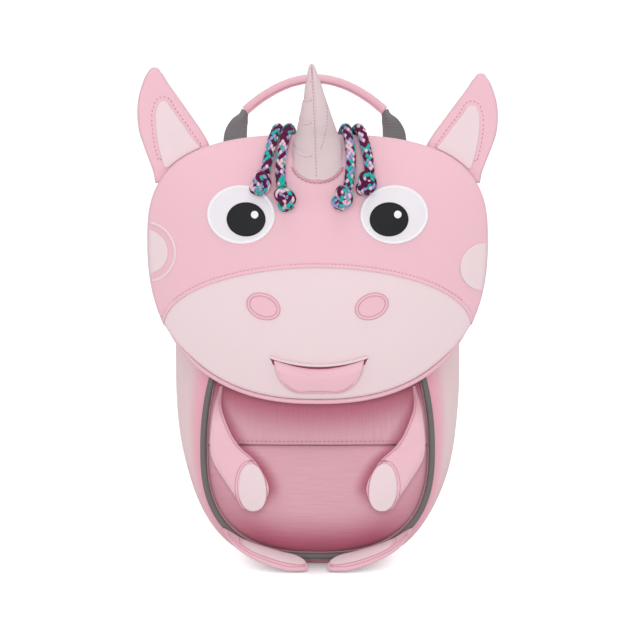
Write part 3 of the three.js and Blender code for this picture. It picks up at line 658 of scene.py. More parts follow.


# the deep colour of each finish is the tint of its painted shade
pinkCloth = clothMaterial("pinkCloth", (0.83, 0.505, 0.578), depth=0.92, threads=1.3, mottle=0.35, bump=0.05)
paleCloth = clothMaterial("paleCloth", (0.815, 0.65, 0.685), depth=0.93, threads=1.3, mottle=0.3, bump=0.04)
sideCloth = clothMaterial("sideCloth", (0.96, 0.69, 0.725), depth=0.93, threads=1.8, mottle=0.35, bump=0.04,
                          deep=(0.98, 0.55, 0.70))
frontShadeTint = (0.62, 0.25, 0.35)
pocketCloth = clothMaterial("pocketCloth", (0.705, 0.378, 0.445), depth=0.87, threads=1.5, mottle=0.5, bump=0.1,
                            deep=frontShadeTint, lines=(70, 70, 1300))
panelCloth = clothMaterial("panelCloth", (0.685, 0.375, 0.44), depth=0.87, threads=1.5, mottle=0.5, bump=0.1,
                           deep=frontShadeTint, lines=(1500, 1500, 60))
hornCloth = clothMaterial("hornCloth", (0.705, 0.555, 0.58), depth=0.9, threads=1.7, mottle=0.4, bump=0.05)
pinkThread = clothMaterial("pinkThread", (0.46, 0.10, 0.18), depth=0.8, threads=2.5, mottle=0.5, bump=0.04)
seamThread = clothMaterial("seamThread", (0.56, 0.2, 0.29), depth=0.85, threads=2.5, mottle=0.5, bump=0.04)
softThread = clothMaterial("softThread", (0.70, 0.33, 0.43), depth=0.85, threads=2.5, mottle=0.5, bump=0.04)
greyPiping = clothMaterial("greyPiping", (0.165, 0.153, 0.15), depth=0.8, threads=2.2, grain=0.3, sheen=0.1,
                           rough=0.45)
# dark colour of the mouth lining: painted shade inside the slit
shadedLining = clothMaterial("shadedLining", (0.30, 0.055, 0.10), depth=0.7, threads=1.6, bump=0.04)
greyWebbing = clothMaterial("greyWebbing", (0.24, 0.24, 0.245), depth=0.4, threads=0.8, grain=1.0, bump=0.2)
eyeWhite = clothMaterial("eyeWhite", (0.86, 0.84, 0.875), depth=0.97, threads=2.2, mottle=0.2, grain=0.1, bump=0.015)
eyeInner = clothMaterial("eyeInner", (0.80, 0.755, 0.80), depth=0.95, threads=2.2, mottle=0.3, grain=0.1, bump=0.02)
eyeBlack = clothMaterial("eyeBlack", (0.006, 0.006, 0.008), depth=0.6, threads=2.2, bump=0.02, sheen=0.05, rough=0.55)
greyPlastic = clothMaterial("greyPlastic", (0.11, 0.11, 0.115), depth=0.85, threads=0.9, bump=0.02, sheen=0,
                            rough=0.5)


def braidMaterial():
    # each strand's colour, with painted shade where the strands dip between crossings, is painted on the braid's
    # faces; fine yarns run over it
    material = bpy.data.materials.new("braidedCord")
    material.use_nodes = True
    nodes, links = material.node_tree.nodes, material.node_tree.links
    shader = nodes["Principled BSDF"]
    painted = nodes.new("ShaderNodeAttribute")
    painted.attribute_name = "strand"
    coords = nodes.new("ShaderNodeTexCoord")
    yarn = nodes.new("ShaderNodeTexNoise")
    yarn.inputs["Scale"].default_value = 1800
    yarn.inputs["Detail"].default_value = 2
    links.new(coords.outputs["Object"], yarn.inputs["Vector"])
    blend = nodes.new("ShaderNodeMix")
    blend.data_type = "RGBA"
    blend.blend_type = "MULTIPLY"
    blend.inputs["Factor"].default_value = 0.35
    links.new(painted.outputs["Color"], blend.inputs["A"])
    links.new(yarn.outputs["Color"], blend.inputs["B"])
    links.new(blend.outputs["Result"], shader.inputs["Base Color"])
    bumped = nodes.new("ShaderNodeBump")
    bumped.inputs["Strength"].default_value = 0.7
    bumped.inputs["Distance"].default_value = 0.12 * mm
    links.new(yarn.outputs["Fac"], bumped.inputs["Height"])
    links.new(bumped.outputs["Normal"], shader.inputs["Normal"])
    shader.inputs["Roughness"].default_value = 0.75
    shader.inputs["Sheen Weight"].default_value = 0.1
    shader.inputs["Specular IOR Level"].default_value = 0.15
    return material


braidedCord = braidMaterial()
print("finishes made")

# Shapes shared by several pieces

headLow, headHigh = boxOf("face_rim")
bagHigh = boxOf("bag_body")[1]
padLow, padHigh = boxOf("back_panel")
pipeHigh = boxOf("piping")[1]
sewn = 0.3
headShape = {"half": headHigh.x, "low": headLow.z, "wide": 192.6, "high": headHigh.z, "up": 2.85, "down": 2.35}
frontShape = {"half": pipeHigh.x - 2.2, "low": 7, "wide": 70, "high": 178, "up": 2, "down": 2.6}
backShape = {"half": bagHigh.x, "low": -4, "wide": 122, "high": padHigh.z - 0.3, "up": 2.4, "down": 2.8}
panelShape = inset(frontShape, 2.2)
lid = {"chin": -61, "brow": -44, "dome": 20, "pad": 5, "rim": 3, "muzzleHigh": 178.5, "muzzleDrop": 36,
       "muzzleHalf": 89.5, "roll": 1.8, "rollDrop": 1.5, "fold": 0.75, "stitchOff": 2.1}
bag = {"front": -49, "back": 49, "wall": 2.5, "mouth": 190, "pocketTop": 72.5, "pocketBulge": 9, "panelBulge": 3,
       "panelThick": 2}


def headEdgeY(z):
    return mix(lid["chin"], lid["brow"], (z - headShape["low"]) / (headShape["high"] - headShape["low"]))


def faceY(x, z):
    return headEdgeY(z) - lid["dome"] * (1 - min(1, outlineShare(headShape, x, z)) ** 2.6)


def muzzleSeamZ(x):
    return lid["muzzleHigh"] - lid["muzzleDrop"] * (1 - math.sqrt(max(0, 1 - (x / lid["muzzleHalf"]) ** 2)))


def onFace(x, z, off=0.0):
    return Vector((x, faceY(x, z) - off, z))


def panelY(x, z):
    swell = 1 - outlineShare(panelShape, x, z) ** 2
    return bag["front"] - sewn - bag["panelThick"] - bag["panelBulge"] * max(0, swell)


def pocketY(x, z):
    share = clamp((z - panelShape["low"]) / (bag["pocketTop"] - panelShape["low"]))
    half = max(1, halfWidthAt(panelShape, z))
    swell = (4 * share * (1 - share)) ** 0.6 * max(0, 1 - (x / half) ** 2) ** 0.7
    return panelY(x, z) - bag["pocketBulge"] * swell


# Mane cords: braided, over the brow from the lid's top seam, each ending in a knot

maneRoutes = {
    "mane_cord_1": [
        (-20.5, -19, 251.5), (-20.8, -23, 251.9), (-21.2, -27, 252.6), (-21.6, -31, 253.8), (-22, -35, 255.4),
        (-22.5, -38.5, 256.7), (-23.2, -42, 257.2), (-24, -45.5, 256.2), (-25, -48.8, 253.8), (-26, -51.8, 250.6),
        (-27, -54.6, 247), (-27.9, -57.4, 243.3), (-28.8, -60.3, 239.6), (-29.6, -63.3, 236), (-30.4, -66.2, 232.4)],
    "mane_cord_2": [
        (-14.2, -19, 251.6), (-14.4, -23, 252), (-14.7, -27, 252.7), (-15.1, -31, 253.9), (-15.6, -35, 255.5),
        (-16.2, -38.5, 256.8), (-16.9, -42, 257.3), (-17.6, -45.5, 256.3), (-18.4, -48.8, 253.9),
        (-19.2, -51.8, 250.7), (-20, -54.6, 247.1), (-20.7, -57.3, 243.3), (-21.2, -59.9, 239.5),
        (-21.4, -62.5, 235.6), (-21.4, -65, 231.7), (-21, -67.4, 227.8), (-20.4, -69.6, 224)],
    "mane_cord_3": [
        (13.6, -19, 251.6), (13.9, -23, 252), (14.3, -27, 252.7), (14.8, -31, 253.9), (15.3, -35, 255.5),
        (15.8, -38.5, 256.8), (16.4, -42, 257.3), (17, -45.5, 256.3), (17.7, -48.8, 253.9), (18.3, -51.8, 250.7),
        (18.8, -54.6, 247.1), (19.1, -57.3, 243.3), (19.2, -59.9, 239.5), (19, -62.5, 235.6), (18.6, -65, 231.7),
        (18, -67.4, 227.8), (17.2, -69.6, 224)],
    "mane_cord_4": [
        (20, -19, 251.5), (20.4, -23, 251.9), (20.9, -27, 252.6), (21.5, -31, 253.8), (22.2, -35, 255.4),
        (23, -38.5, 256.7), (23.8, -42, 257.2), (24.8, -45.5, 256.2), (25.8, -48.8, 253.8), (26.8, -51.8, 250.6),
        (27.8, -54.6, 247), (28.7, -57.4, 243.3), (29.4, -60.3, 239.6), (29.8, -63.3, 236), (29.9, -66.2, 232.4)],
}
mane = {
    "width": 6, "ways": 6, "pitch": 22, "core": 2.25, "strand": 0.75, "sides": 60, "step": 0.3,
    "knotTall": 1.9, "knotWide": 1.5, "knotDeep": 0.25, "standOff": 7.5,
    "tails": {"mane_cord_1": (-35.8, 217.4), "mane_cord_2": (-14.6, 208.2),
              "mane_cord_3": (10.6, 209.2), "mane_cord_4": (25.6, 215.6)},
}
teal, plum, lavender, blush = (0.02, 0.52, 0.45), (0.13, 0.003, 0.06), (0.34, 0.37, 0.66), (0.9, 0.6, 0.7)
yarnColours = [plum, teal, lavender, plum, blush, plum, teal, plum, lavender, plum, teal, blush]


def braidAt(angle, along):
    # strands both ways round, one over the other by turns: the height, the crossing, how full the top strand is there
    span = 2 * math.pi / mane["ways"]
    turn = 2 * math.pi * along / mane["pitch"]
    near = [(angle - turn) / span, (angle + turn) / span]
    number = [round(share) for share in near]
    off = [min(1, 2 * abs(share - whole)) for share, whole in zip(near, number)]
    top = (number[0] + number[1]) % 2
    hump = math.sqrt(1 - off[top] ** 2)
    lobe = math.sqrt(1 - off[1 - top] ** 3)
    height = mane["strand"] * hump * mix(0.4, 1, lobe)
    return height, (number[0] % mane["ways"], number[1] - number[0]), hump * lobe


def braidedTube(name, line, phase):
    length = sum((b - a).length for a, b in zip(line, line[1:]))

    def section(share, u):
        radius = mane["core"] + braidAt(2 * math.pi * u, share * length + phase)[0]
        return radius, radius

    piece = tube(name, line, mane["core"], mane["sides"], section=section)
    colours = piece.data.color_attributes.new("strand", "FLOAT_COLOR", "CORNER")
    uv = piece.data.uv_layers.active.data
    for face in piece.data.polygons:
        u = sum(uv[i].uv.x for i in face.loop_indices) / len(face.loop_indices)
        v = sum(uv[i].uv.y for i in face.loop_indices) / len(face.loop_indices)
        crossing, full = braidAt(2 * math.pi * u, v * length + phase)[1:]
        # the yarns are dyed in short lengths, so the colour changes from crossing to crossing
        pick = noise.cell(Vector((crossing[0] + 0.5, crossing[1] + 0.5, phase + 0.5))) * 0.5 + 0.5
        yarn = yarnColours[min(len(yarnColours) - 1, int(clamp(pick) * len(yarnColours)))]
        # painted shade: the colour darkens where the top strand thins between crossings
        lit = mix(0.2, 1, ease(0.05, 0.6, full))
        for i in face.loop_indices:
            colours.data[i].color = (*(c * lit for c in yarn), 1)
    return piece


def knotLine(start, axis):
    # an overhand knot: the cord goes down, back up through its own loop and down again to a short tail
    side = axis.cross(Vector((0, 1, 0))).normalized()
    out = axis.cross(side)
    dense = []
    for k in range(161):
        t = mix(-2.15, 2.15, k / 160)
        near = 1 - ease(1.65, 2.15, abs(t))
        down = (t ** 3 - 3 * t) * mane["knotTall"]
        across = (t ** 4 - 4 * t * t + 2) * mane["knotWide"] * near
        deep = (t ** 5 - 10 * t) * mane["knotDeep"] * near
        dense.append(start + axis * down + side * across - out * deep)
    return evenly([p + start - dense[0] for p in dense], 0.35)


def makeMane():
    for k, (name, route) in enumerate(maneRoutes.items()):
        line = evenly(curved(route), mane["step"])
        cord = finished(braidedTube(f"braid_{k + 1}", line, k * 5), braidedCord, [name])
        tailX, tailZ = mane["tails"][name]
        start = Vector(route[-1])
        axis = (onFace(tailX, tailZ, mane["standOff"]) - start).normalized()
        knot = braidedTube(f"knot_{k + 1}", knotLine(start, axis), k * 3)
        finished(knot, braidedCord, [f"mane_knot_{k + 1}"])


makeMane()
print("mane cords laid")

# Face of the lid: forehead and muzzle pads, the binding round them


def muzzleCorner(shape):
    # the angle at which the muzzle seam meets the rim
    low, high = -math.pi / 2, 0
    for _ in range(40):
        angle = (low + high) / 2
        x, z = outlinePoint(shape, angle)
        if z < muzzleSeamZ(x):
            low = angle
        else:
            high = angle
    return low


def bindingInset(z):
    # the binding shows under the chin and slips behind the face at the cheeks
    return mix(0.3, lid["rim"] + sewn, ease(150, 116, z))


def makeFace():
    edge = []
    for k in range(900):
        x, z = outlinePoint(headShape, 2 * math.pi * k / 900)
        middle = Vector((0, 170))
        p = Vector((x, z))
        edge.append(p - (p - middle).normalized() * bindingInset(z))
    rimShape = inset(headShape, bindingInset(150))
    cornerAngle = muzzleCorner(rimShape)
    corner = outlinePoint(rimShape, cornerAngle)

    def seamLine(side):
        xs = [corner[0] * math.sin(math.pi / 2 * mix(-1, 1, k / 300)) for k in range(301)]
        return evenly([Vector((x, muzzleSeamZ(x) + side * 0.05)) for x in xs], 0.7)

    def turned(points, middle):
        return sorted(points, key=lambda p: math.atan2(p.y - middle[1], p.x - middle[0]))

    toRim = edgeFinder(edge)
    toSeam = edgeFinder(seamLine(0), closed=False)

    def padHeight(x, z):
        # rolled over at the rim, with low swells, and fine level creases on the brow
        d = toRim(x, z)
        near = 1 - min(1, d / lid["roll"])
        creases = ease(232, 246, z) * 0.25 * wave(x * 0.16, 0, z, 0.5, 3) * min(1, d / 6)
        swells = 0.3 * wave(x, 0, z, 0.03) * min(1, d / 10)
        return lid["pad"] - lid["rollDrop"] * (1 - math.sqrt(1 - near * near)) + creases + swells

    def foreheadHeight(x, z):
        # its edge is folded under and stitched down along the muzzle
        off = toSeam(x, z)
        near = 1 - min(1, off / 0.5)
        fold = lid["fold"] * math.sqrt(1 - near * near) * ease(2.4, 1.7, off)
        return padHeight(x, z) + fold - 0.35 * math.exp(-((off - lid["stitchOff"]) / 0.3) ** 2)

    def muzzleHeight(d, x, z):
        return padHeight(x, z) - 0.2 * ease(1.2, 0, toSeam(x, z))

    # the forehead arches over the muzzle, so it is made in slices from cheek to cheek
    cheek = [Vector(outlinePoint(rimShape, cornerAngle * (1 - k / 80))) for k in range(1, 81)]
    lower = evenly([*[Vector((-p.x, p.y)) for p in reversed(cheek)], *seamLine(1), *cheek], 0.8)
    backRows, frontRows = 3, 80

    def browPlace(u, v):
        # up the flat back, down the padded front, and back to the start
        p = lower[round(u * (len(lower) - 1))]
        arch = 1 - min(1, abs(p.x / rimShape["half"])) ** rimShape["up"]
        top = mix(rimShape["wide"], rimShape["high"], arch ** (1 / rimShape["up"]))
        k = round(v * (backRows + frontRows + 2))
        if k <= backRows or k > backRows + frontRows + 1:
            z = mix(p.y, top, k / backRows if k <= backRows else 0)
            return p.x, faceY(p.x, z) + lid["pad"], z
        z = mix(p.y, top, (1 + math.cos(math.pi * (k - backRows - 1) / frontRows)) / 2)
        return p.x, faceY(p.x, z) + lid["pad"] - foreheadHeight(p.x, z), z

    forehead = fromGrid("forehead_pad", len(lower) - 1, backRows + frontRows + 2, browPlace)
    finished(forehead, pinkCloth, ["forehead"])
    kept = [p for p in edge if p.y < muzzleSeamZ(p.x) - 0.05]
    centre = (0, mix(headShape["low"], lid["muzzleHigh"], 0.45))
    outline = evenly(turned([*kept, *seamLine(-1)], centre), count=340, closed=True)
    muzzle = layer("muzzle_pad", outline, centre, lambda x, z: faceY(x, z) + lid["pad"], muzzleHeight, rings=56)
    finished(muzzle, paleCloth, ["muzzle"])

    rim = [outlinePoint(inset(headShape, lid["rim"] / 2), mix(-0.93, -0.07, k / 200) * math.pi) for k in range(201)]
    rim = [p for p in rim if p[1] < 146]

    def section(share, u):
        z = rim[round(share * (len(rim) - 1))][1]
        thin = mix(1, 0.45, ease(116, 146, z))
        return 1.5 * thin, 2.45 * mix(1, 0.8, ease(116, 146, z))

    line = [(x, headEdgeY(z) + lid["pad"] / 2 + 0.8 * ease(116, 146, z), z) for x, z in rim]
    binding = tube("face_binding", line, 1.5, 20, section=section)
    finished(binding, pinkCloth, ["face_rim"])
    line = []
    for k in range(161):
        x = mix(-84, 84, k / 160)
        slope = (muzzleSeamZ(x + 1) - muzzleSeamZ(x - 1)) / 2
        line.append(onFace(x, muzzleSeamZ(x) + lid["stitchOff"] * math.hypot(1, slope), 0.15))
    stitchRow("muzzle_stitches", [line], seamThread, length=1.6, gap=0.7, width=0.4)
    seamTube("muzzle_seam", [[onFace(p.x, p.y, 0.15) for p in seamLine(2)[3:-3]]], softThread, 0.18)


makeFace()

# What is sewn on the face

eye = {"x": 44.2, "z": 208.6, "halfWidth": 19.6, "halfHeight": 16.7, "thick": 1.2}
pupil = {"x": 41.2, "z": 206, "halfWidth": 11.3, "halfHeight": 9.8, "thick": 0.8}
glint = {"shift": 5, "rise": 2.8, "radius": 2.2, "thick": 0.5}
nostril = {"x": 31.2, "z": 156, "halfWidth": 9.9, "halfHeight": 7.3, "turn": 23}
mouth = {"x": 0.8, "z": 120.3, "curl": 4.3, "half": 26.1, "slit": 28.3, "length": 15.7, "thick": 3}


def faceAt(off):
    return lambda x, z: faceY(x, z) - off


def makeEyes():
    pupilOff = sewn + eye["thick"] + sewn
    glintOff = pupilOff + pupil["thick"] + sewn
    for side, sign in (("left", -1), ("right", 1)):
        x, z = sign * eye["x"], eye["z"]
        white = layer(f"eye_{side}_white", ovalOutline(x, z, eye["halfWidth"] - 1.1, eye["halfHeight"] - 1.1), (x, z),
                      faceAt(sewn), rounded(0.85, 0.8), rings=20)
        finished(white, eyeInner)
        outline = ovalOutline(x, z, eye["halfWidth"] - 0.85, eye["halfHeight"] - 0.85, count=120)
        ring = tube(f"eye_{side}_ring", [onFace(p.x, p.y, 0.7) for p in outline], 0.85, 14, closed=True,
                    section=lambda s, u: (0.9, 0.75))
        finished(ring, eyeWhite, [f"eye_white_{side}"])
        black = layer(f"eye_{side}_pupil",
                      ovalOutline(sign * pupil["x"], pupil["z"], pupil["halfWidth"], pupil["halfHeight"]),
                      (sign * pupil["x"], pupil["z"]), faceAt(pupilOff - 0.8), rounded(pupil["thick"], 0.6), rings=14)
        finished(black, eyeBlack, [f"pupil_{side}"])
        x, z = sign * pupil["x"] + glint["shift"], pupil["z"] + glint["rise"]
        spot = layer(f"eye_{side}_glint", ovalOutline(x, z, glint["radius"], glint["radius"], count=32), (x, z),
                     faceAt(glintOff - 0.8), rounded(glint["thick"], 0.5), rings=8)
        finished(spot, eyeWhite, [f"eye_glint_{side}"])


def makeNostrils():
    for side, sign in (("left", -1), ("right", 1)):
        x, z, turn = sign * nostril["x"], nostril["z"], sign * nostril["turn"]

        def around(inward, off):
            oval = ovalOutline(x, z, nostril["halfWidth"] - inward, nostril["halfHeight"] - inward, turn)
            return [onFace(p.x, p.y, off) for p in oval]

        inside = ovalOutline(x, z, nostril["halfWidth"] - 1.6, nostril["halfHeight"] - 1.6, turn)
        fill = layer(f"nostril_{side}_fill", inside, (x, z), faceAt(-0.1), rounded(0.7, 0.7), rings=14)
        finished(fill, pinkCloth)
        ring = tube(f"nostril_{side}_ring", around(0.85, 0.5), 0.7, 14, closed=True,
                    section=lambda s, u: (0.72, 0.8))
        finished(ring, pinkCloth, [f"nostril_{side}"])
        seam = tube(f"nostril_{side}_seam", around(-0.05, 0.2), 0.22, 8, closed=True)
        finished(seam, softThread)


def mouthZ(x, drop=0.0):
    return mouth["z"] + mouth["curl"] * ((x - mouth["x"]) / mouth["half"]) ** 2 * (1 - drop)


def makeMouth():
    # lining seen in the slit and its corners, coloured dark as painted shade inside the slit, the lip above it and
    # the padded tongue that hangs out of it
    half, middle = mouth["slit"], mouth["x"]
    shares = [mix(-1, 1, k / 80) for k in range(81)]
    lens = [Vector((middle + s * half, mouthZ(middle + s * half) + 0.6)) for s in shares]
    for s in reversed(shares):
        x = middle + s * half
        corner = 3.2 * ease(1.0, 0.93, abs(s))
        lens.append(Vector((x, mouthZ(x) - corner)))
    lining = layer("mouth_lining", evenly(lens, count=200, closed=True), (middle, mouth["z"] - 0.8), faceAt(0.1),
                   rounded(0.3, 0.4), rings=8)
    finished(lining, shadedLining)
    lip = [onFace(middle + s * (half + 0.6), mouthZ(middle + s * (half + 0.6)) + 1.1, 0.9) for s in shares]
    fold = tube("mouth_lip", lip, 0.8, 14, section=lambda s, u: (0.8, 1.0))
    finished(fold, paleCloth)

    rows = [(0, 1), (0.25, 0.975), (0.5, 0.91), (0.7, 0.81), (0.85, 0.69), (0.95, 0.57), (1, 0.44)]
    right = []
    for drop, share in rows:
        x = middle + share * mouth["half"]
        right.append(Vector((x, mouthZ(x, drop) - drop * mouth["length"])))
    foot = [Vector((middle + x, right[-1].y)) for x in (6, 0, -6)]
    left = [Vector((2 * middle - p.x, p.y)) for p in reversed(right)]
    top = []
    for x in (-20, -13, -6, 0, 6, 13, 20):
        top.append(Vector((middle + x, mouthZ(middle + x) - 0.2 - 0.5 * ease(20, 4, abs(x)))))
    sides = curved([*right, *foot, *left])
    outline = evenly([*sides, *top], count=150, closed=True)

    def height(d, x, z):
        # thin where it leaves the slit, rolled at its edge, with a seam sewn a little inside it
        down = mouthZ(x) - z
        near = 1 - min(1, d / 1.2)
        seam = 0.45 * math.exp(-((d - 1.5) / 0.35) ** 2) * ease(3, 6, down)
        full = mix(0.35, 1, ease(0, 5.5, down))
        return mouth["thick"] * full * math.sqrt(1 - near * near) - seam + 0.3 * ease(2.4, 6, d)

    tongue = layer("tongue_pad", outline, (middle, mouth["z"] - 6.5), faceAt(sewn), height, rings=40)
    inner = [p for p in evenly(sides, 0.6) if mouthZ(p.x) - p.y > 12.4]
    line = []
    for p in inner:
        q = p + (Vector((middle, mouth["z"] - 5)) - p).normalized() * 1.5
        line.append(Vector((q.x, faceY(q.x, q.y) - sewn - mouth["thick"] + 0.25, q.y)))
    seam = seamTube("tongue_seam", [line], softThread, 0.22)
    puffed(tongue, [seam], cell=2, cap=0.7)
    finished(tongue, pinkCloth, ["tongue"])


spots = {"left": {"x": -99.6, "z": 186, "radius": 12.9, "ring": 17},
         "right": {"x": 96.3, "z": 177.3, "radius": 13.7, "ring": 0}}


def makeSpots():
    shape = inset(headShape, 0.9)
    for side, spot in spots.items():
        sign = math.copysign(1, spot["x"])
        outer, inner = [], []
        for k in range(61):
            lift = math.sin(math.pi / 2 * mix(-1, 1, k / 60))
            z = spot["z"] + lift * spot["radius"]
            edge = halfWidthAt(shape, z)
            reach = abs(spot["x"]) - spot["radius"] * math.sqrt(1 - lift * lift)
            if reach < edge - 0.2:
                outer.append(Vector((sign * edge, z)))
                inner.append(Vector((sign * reach, z)))
        outline = evenly([*outer, *reversed(inner)], count=120, closed=True)
        middle = (sign * (abs(spot["x"]) - spot["radius"] * 0.5), spot["z"])

        def rolled(x, z):
            # how far the face has rolled back at its edge
            near = 1 - min(1, max(0, halfWidthAt(headShape, z) - 0.3 - abs(x)) / 3)
            return 2.4 * (1 - math.sqrt(1 - near * near))

        patch = layer(f"cheek_{side}_spot", outline, middle, lambda x, z: faceY(x, z) - 0.2 + rolled(x, z),
                      rounded(0.75, 0.6), rings=16)
        finished(patch, paleCloth, [f"cheek_spot_{side}"])
        if spot["ring"]:
            line = []
            for k in range(91):
                angle = mix(-math.pi / 2, math.pi / 2, k / 90)
                x = spot["x"] - sign * spot["ring"] * math.cos(angle)
                z = spot["z"] + spot["ring"] * math.sin(angle)
                if abs(x) < halfWidthAt(headShape, z) - 0.8:
                    line.append(Vector((x, faceY(x, z) - 0.45 + rolled(x, z), z)))
            ring = tube(f"cheek_{side}_ring", line, 0.6, 12, section=lambda s, u: (0.8, 0.6))
            finished(ring, paleCloth)


makeEyes()
makeNostrils()
makeMouth()
makeSpots()
print("face made")

# Hood: the lid's top and sides, from the face back to the back panel

hood = {"inset": 4, "hem": 185, "wall": 2.5}
hoodFront = inset(headShape, hood["inset"])
hoodBack = {**backShape, "half": backShape["half"] - 1, "wide": 130, "high": 240, "up": 2.6}


def hoodShape(share):
    return {key: mix(hoodFront[key], hoodBack[key], share) for key in hoodFront}


def hoodPoint(share, u, wall=0.0):
    shape = inset(hoodShape(share), wall)
    rising = hood["hem"] >= shape["wide"]
    reach = shape["high"] - shape["wide"] if rising else shape["wide"] - shape["low"]
    fullness = shape["up"] if rising else shape["down"]
    start = math.asin(power((hood["hem"] - shape["wide"]) / reach, fullness / 2))
    x, z = outlinePoint(shape, mix(start, math.pi - start, u))
    return Vector((x, mix(headEdgeY(z) + lid["pad"] + sewn, bag["back"], share), z))


def makeHood():
    def place(u, v):
        # down the outside from face to back, then back along the inside
        outside = v < 0.5
        share = clamp(v * 2.04) if outside else clamp((1 - v) * 2.04)
        p = hoodPoint(share, u, 0 if outside else hood["wall"])
        dent = 0.5 * wave(p.x, p.y, p.z, 0.035, 7) * math.sin(math.pi * share)
        return p.x, p.y, p.z + dent

    shell = fromGrid("hood_shell", 120, 61, place)
    finished(shell, pinkCloth, ["flap_hood"])


makeHood()
print("hood made")

# Bag: side cloth shell, front panel, pocket and piping

arm = {"high": 108, "low": 35, "thick": 4.5, "off": 0.8, "out": 63}
armRows = [
    {"rise": 0, "outer": 0.66, "inner": 0.575}, {"rise": 0.025, "outer": 0.7, "inner": 0.53},
    {"rise": 0.09, "outer": 0.745, "inner": 0.478}, {"rise": 0.18, "outer": 0.819, "inner": 0.448},
    {"rise": 0.29, "outer": 0.905, "inner": 0.489}, {"rise": 0.41, "outer": 0.981, "inner": 0.586},
    {"rise": 0.52, "outer": 1, "inner": 0.73}, {"rise": 0.66, "outer": 0.99, "inner": 0.824},
    {"rise": 0.83, "outer": 0.963, "inner": 0.889}, {"rise": 1, "outer": 0.905, "inner": 0.88},
]

gussetRows = [
    {"along": 0, "width": 0, "base": 0, "top": 0},
    {"along": 0.08, "width": 0.25, "base": 0.5, "top": 0.1},
    {"along": 0.2, "width": 0.45, "base": 0.85, "top": 0.28},
    {"along": 0.5, "width": 0.82, "base": 1, "top": 0.66},
    {"along": 0.8, "width": 1, "base": 1, "top": 0.93},
    {"along": 0.93, "width": 0.94, "base": 0.9, "top": 0.97},
    {"along": 1, "width": 0.7, "base": 0.5, "top": 0.94},
]


def gussetShape(along):
    width, base, top = (between(gussetRows, "along", key, along) for key in ("width", "base", "top"))
    return {"half": mix(frontShape["half"], backShape["half"], width),
            "low": mix(frontShape["low"], backShape["low"], base),
            "wide": mix(frontShape["wide"], backShape["wide"], top),
            "high": mix(frontShape["high"], backShape["high"], top),
            "up": mix(frontShape["up"], backShape["up"], top),
            "down": mix(frontShape["down"], backShape["down"], base)}


def chinZ(x):
    reach = headShape["wide"] - headShape["low"]
    fullness = headShape["down"]
    return headShape["wide"] - reach * (1 - min(1, abs(x / headShape["half"])) ** fullness) ** (1 / fullness)


def makeBag():
    rings = 30
    shares = [0, 0.5, 0.9, *[1] * rings, 0.9, 0.5, 0]
    alongs = [0, 0, 0, *[k / (rings - 1) for k in range(rings)], 1, 1, 1]
    shapes = [gussetShape(along) for along in alongs]
    last = len(shares) - 1

    def place(u, v):
        k = round(v * last)
        shape, along = shapes[k], alongs[k]
        x, z = outlinePoint(shape, 2 * math.pi * u)
        soft = 0.7 * wave(x * 0.5, along * 60, z, 0.03, 5) * math.sin(math.pi * along)
        x, z = x * shares[k] * (1 + soft / 80), mix(shape["wide"], z, shares[k])
        return x, mix(bag["front"], bag["back"], along), max(0, z)

    shell = fromGrid("bag_shell", 120, last, place)
    editAll(shell, lambda: bpy.ops.mesh.bisect(plane_co=(0, 0, bag["mouth"] * mm), plane_no=(0, 0, 1),
                                               clear_outer=True))
    applied(shell, "SOLIDIFY", thickness=bag["wall"] * mm, offset=-1)
    # painted shade on the side cloth: darker towards the front piping, and low down towards the front
    paintedShade(shell, lambda x, y, z: max(0.85 * ease(-22, -47, y), 0.5 * ease(72, 30, z) * ease(40, -10, y)))
    finished(shell, sideCloth, ["bag_body"])


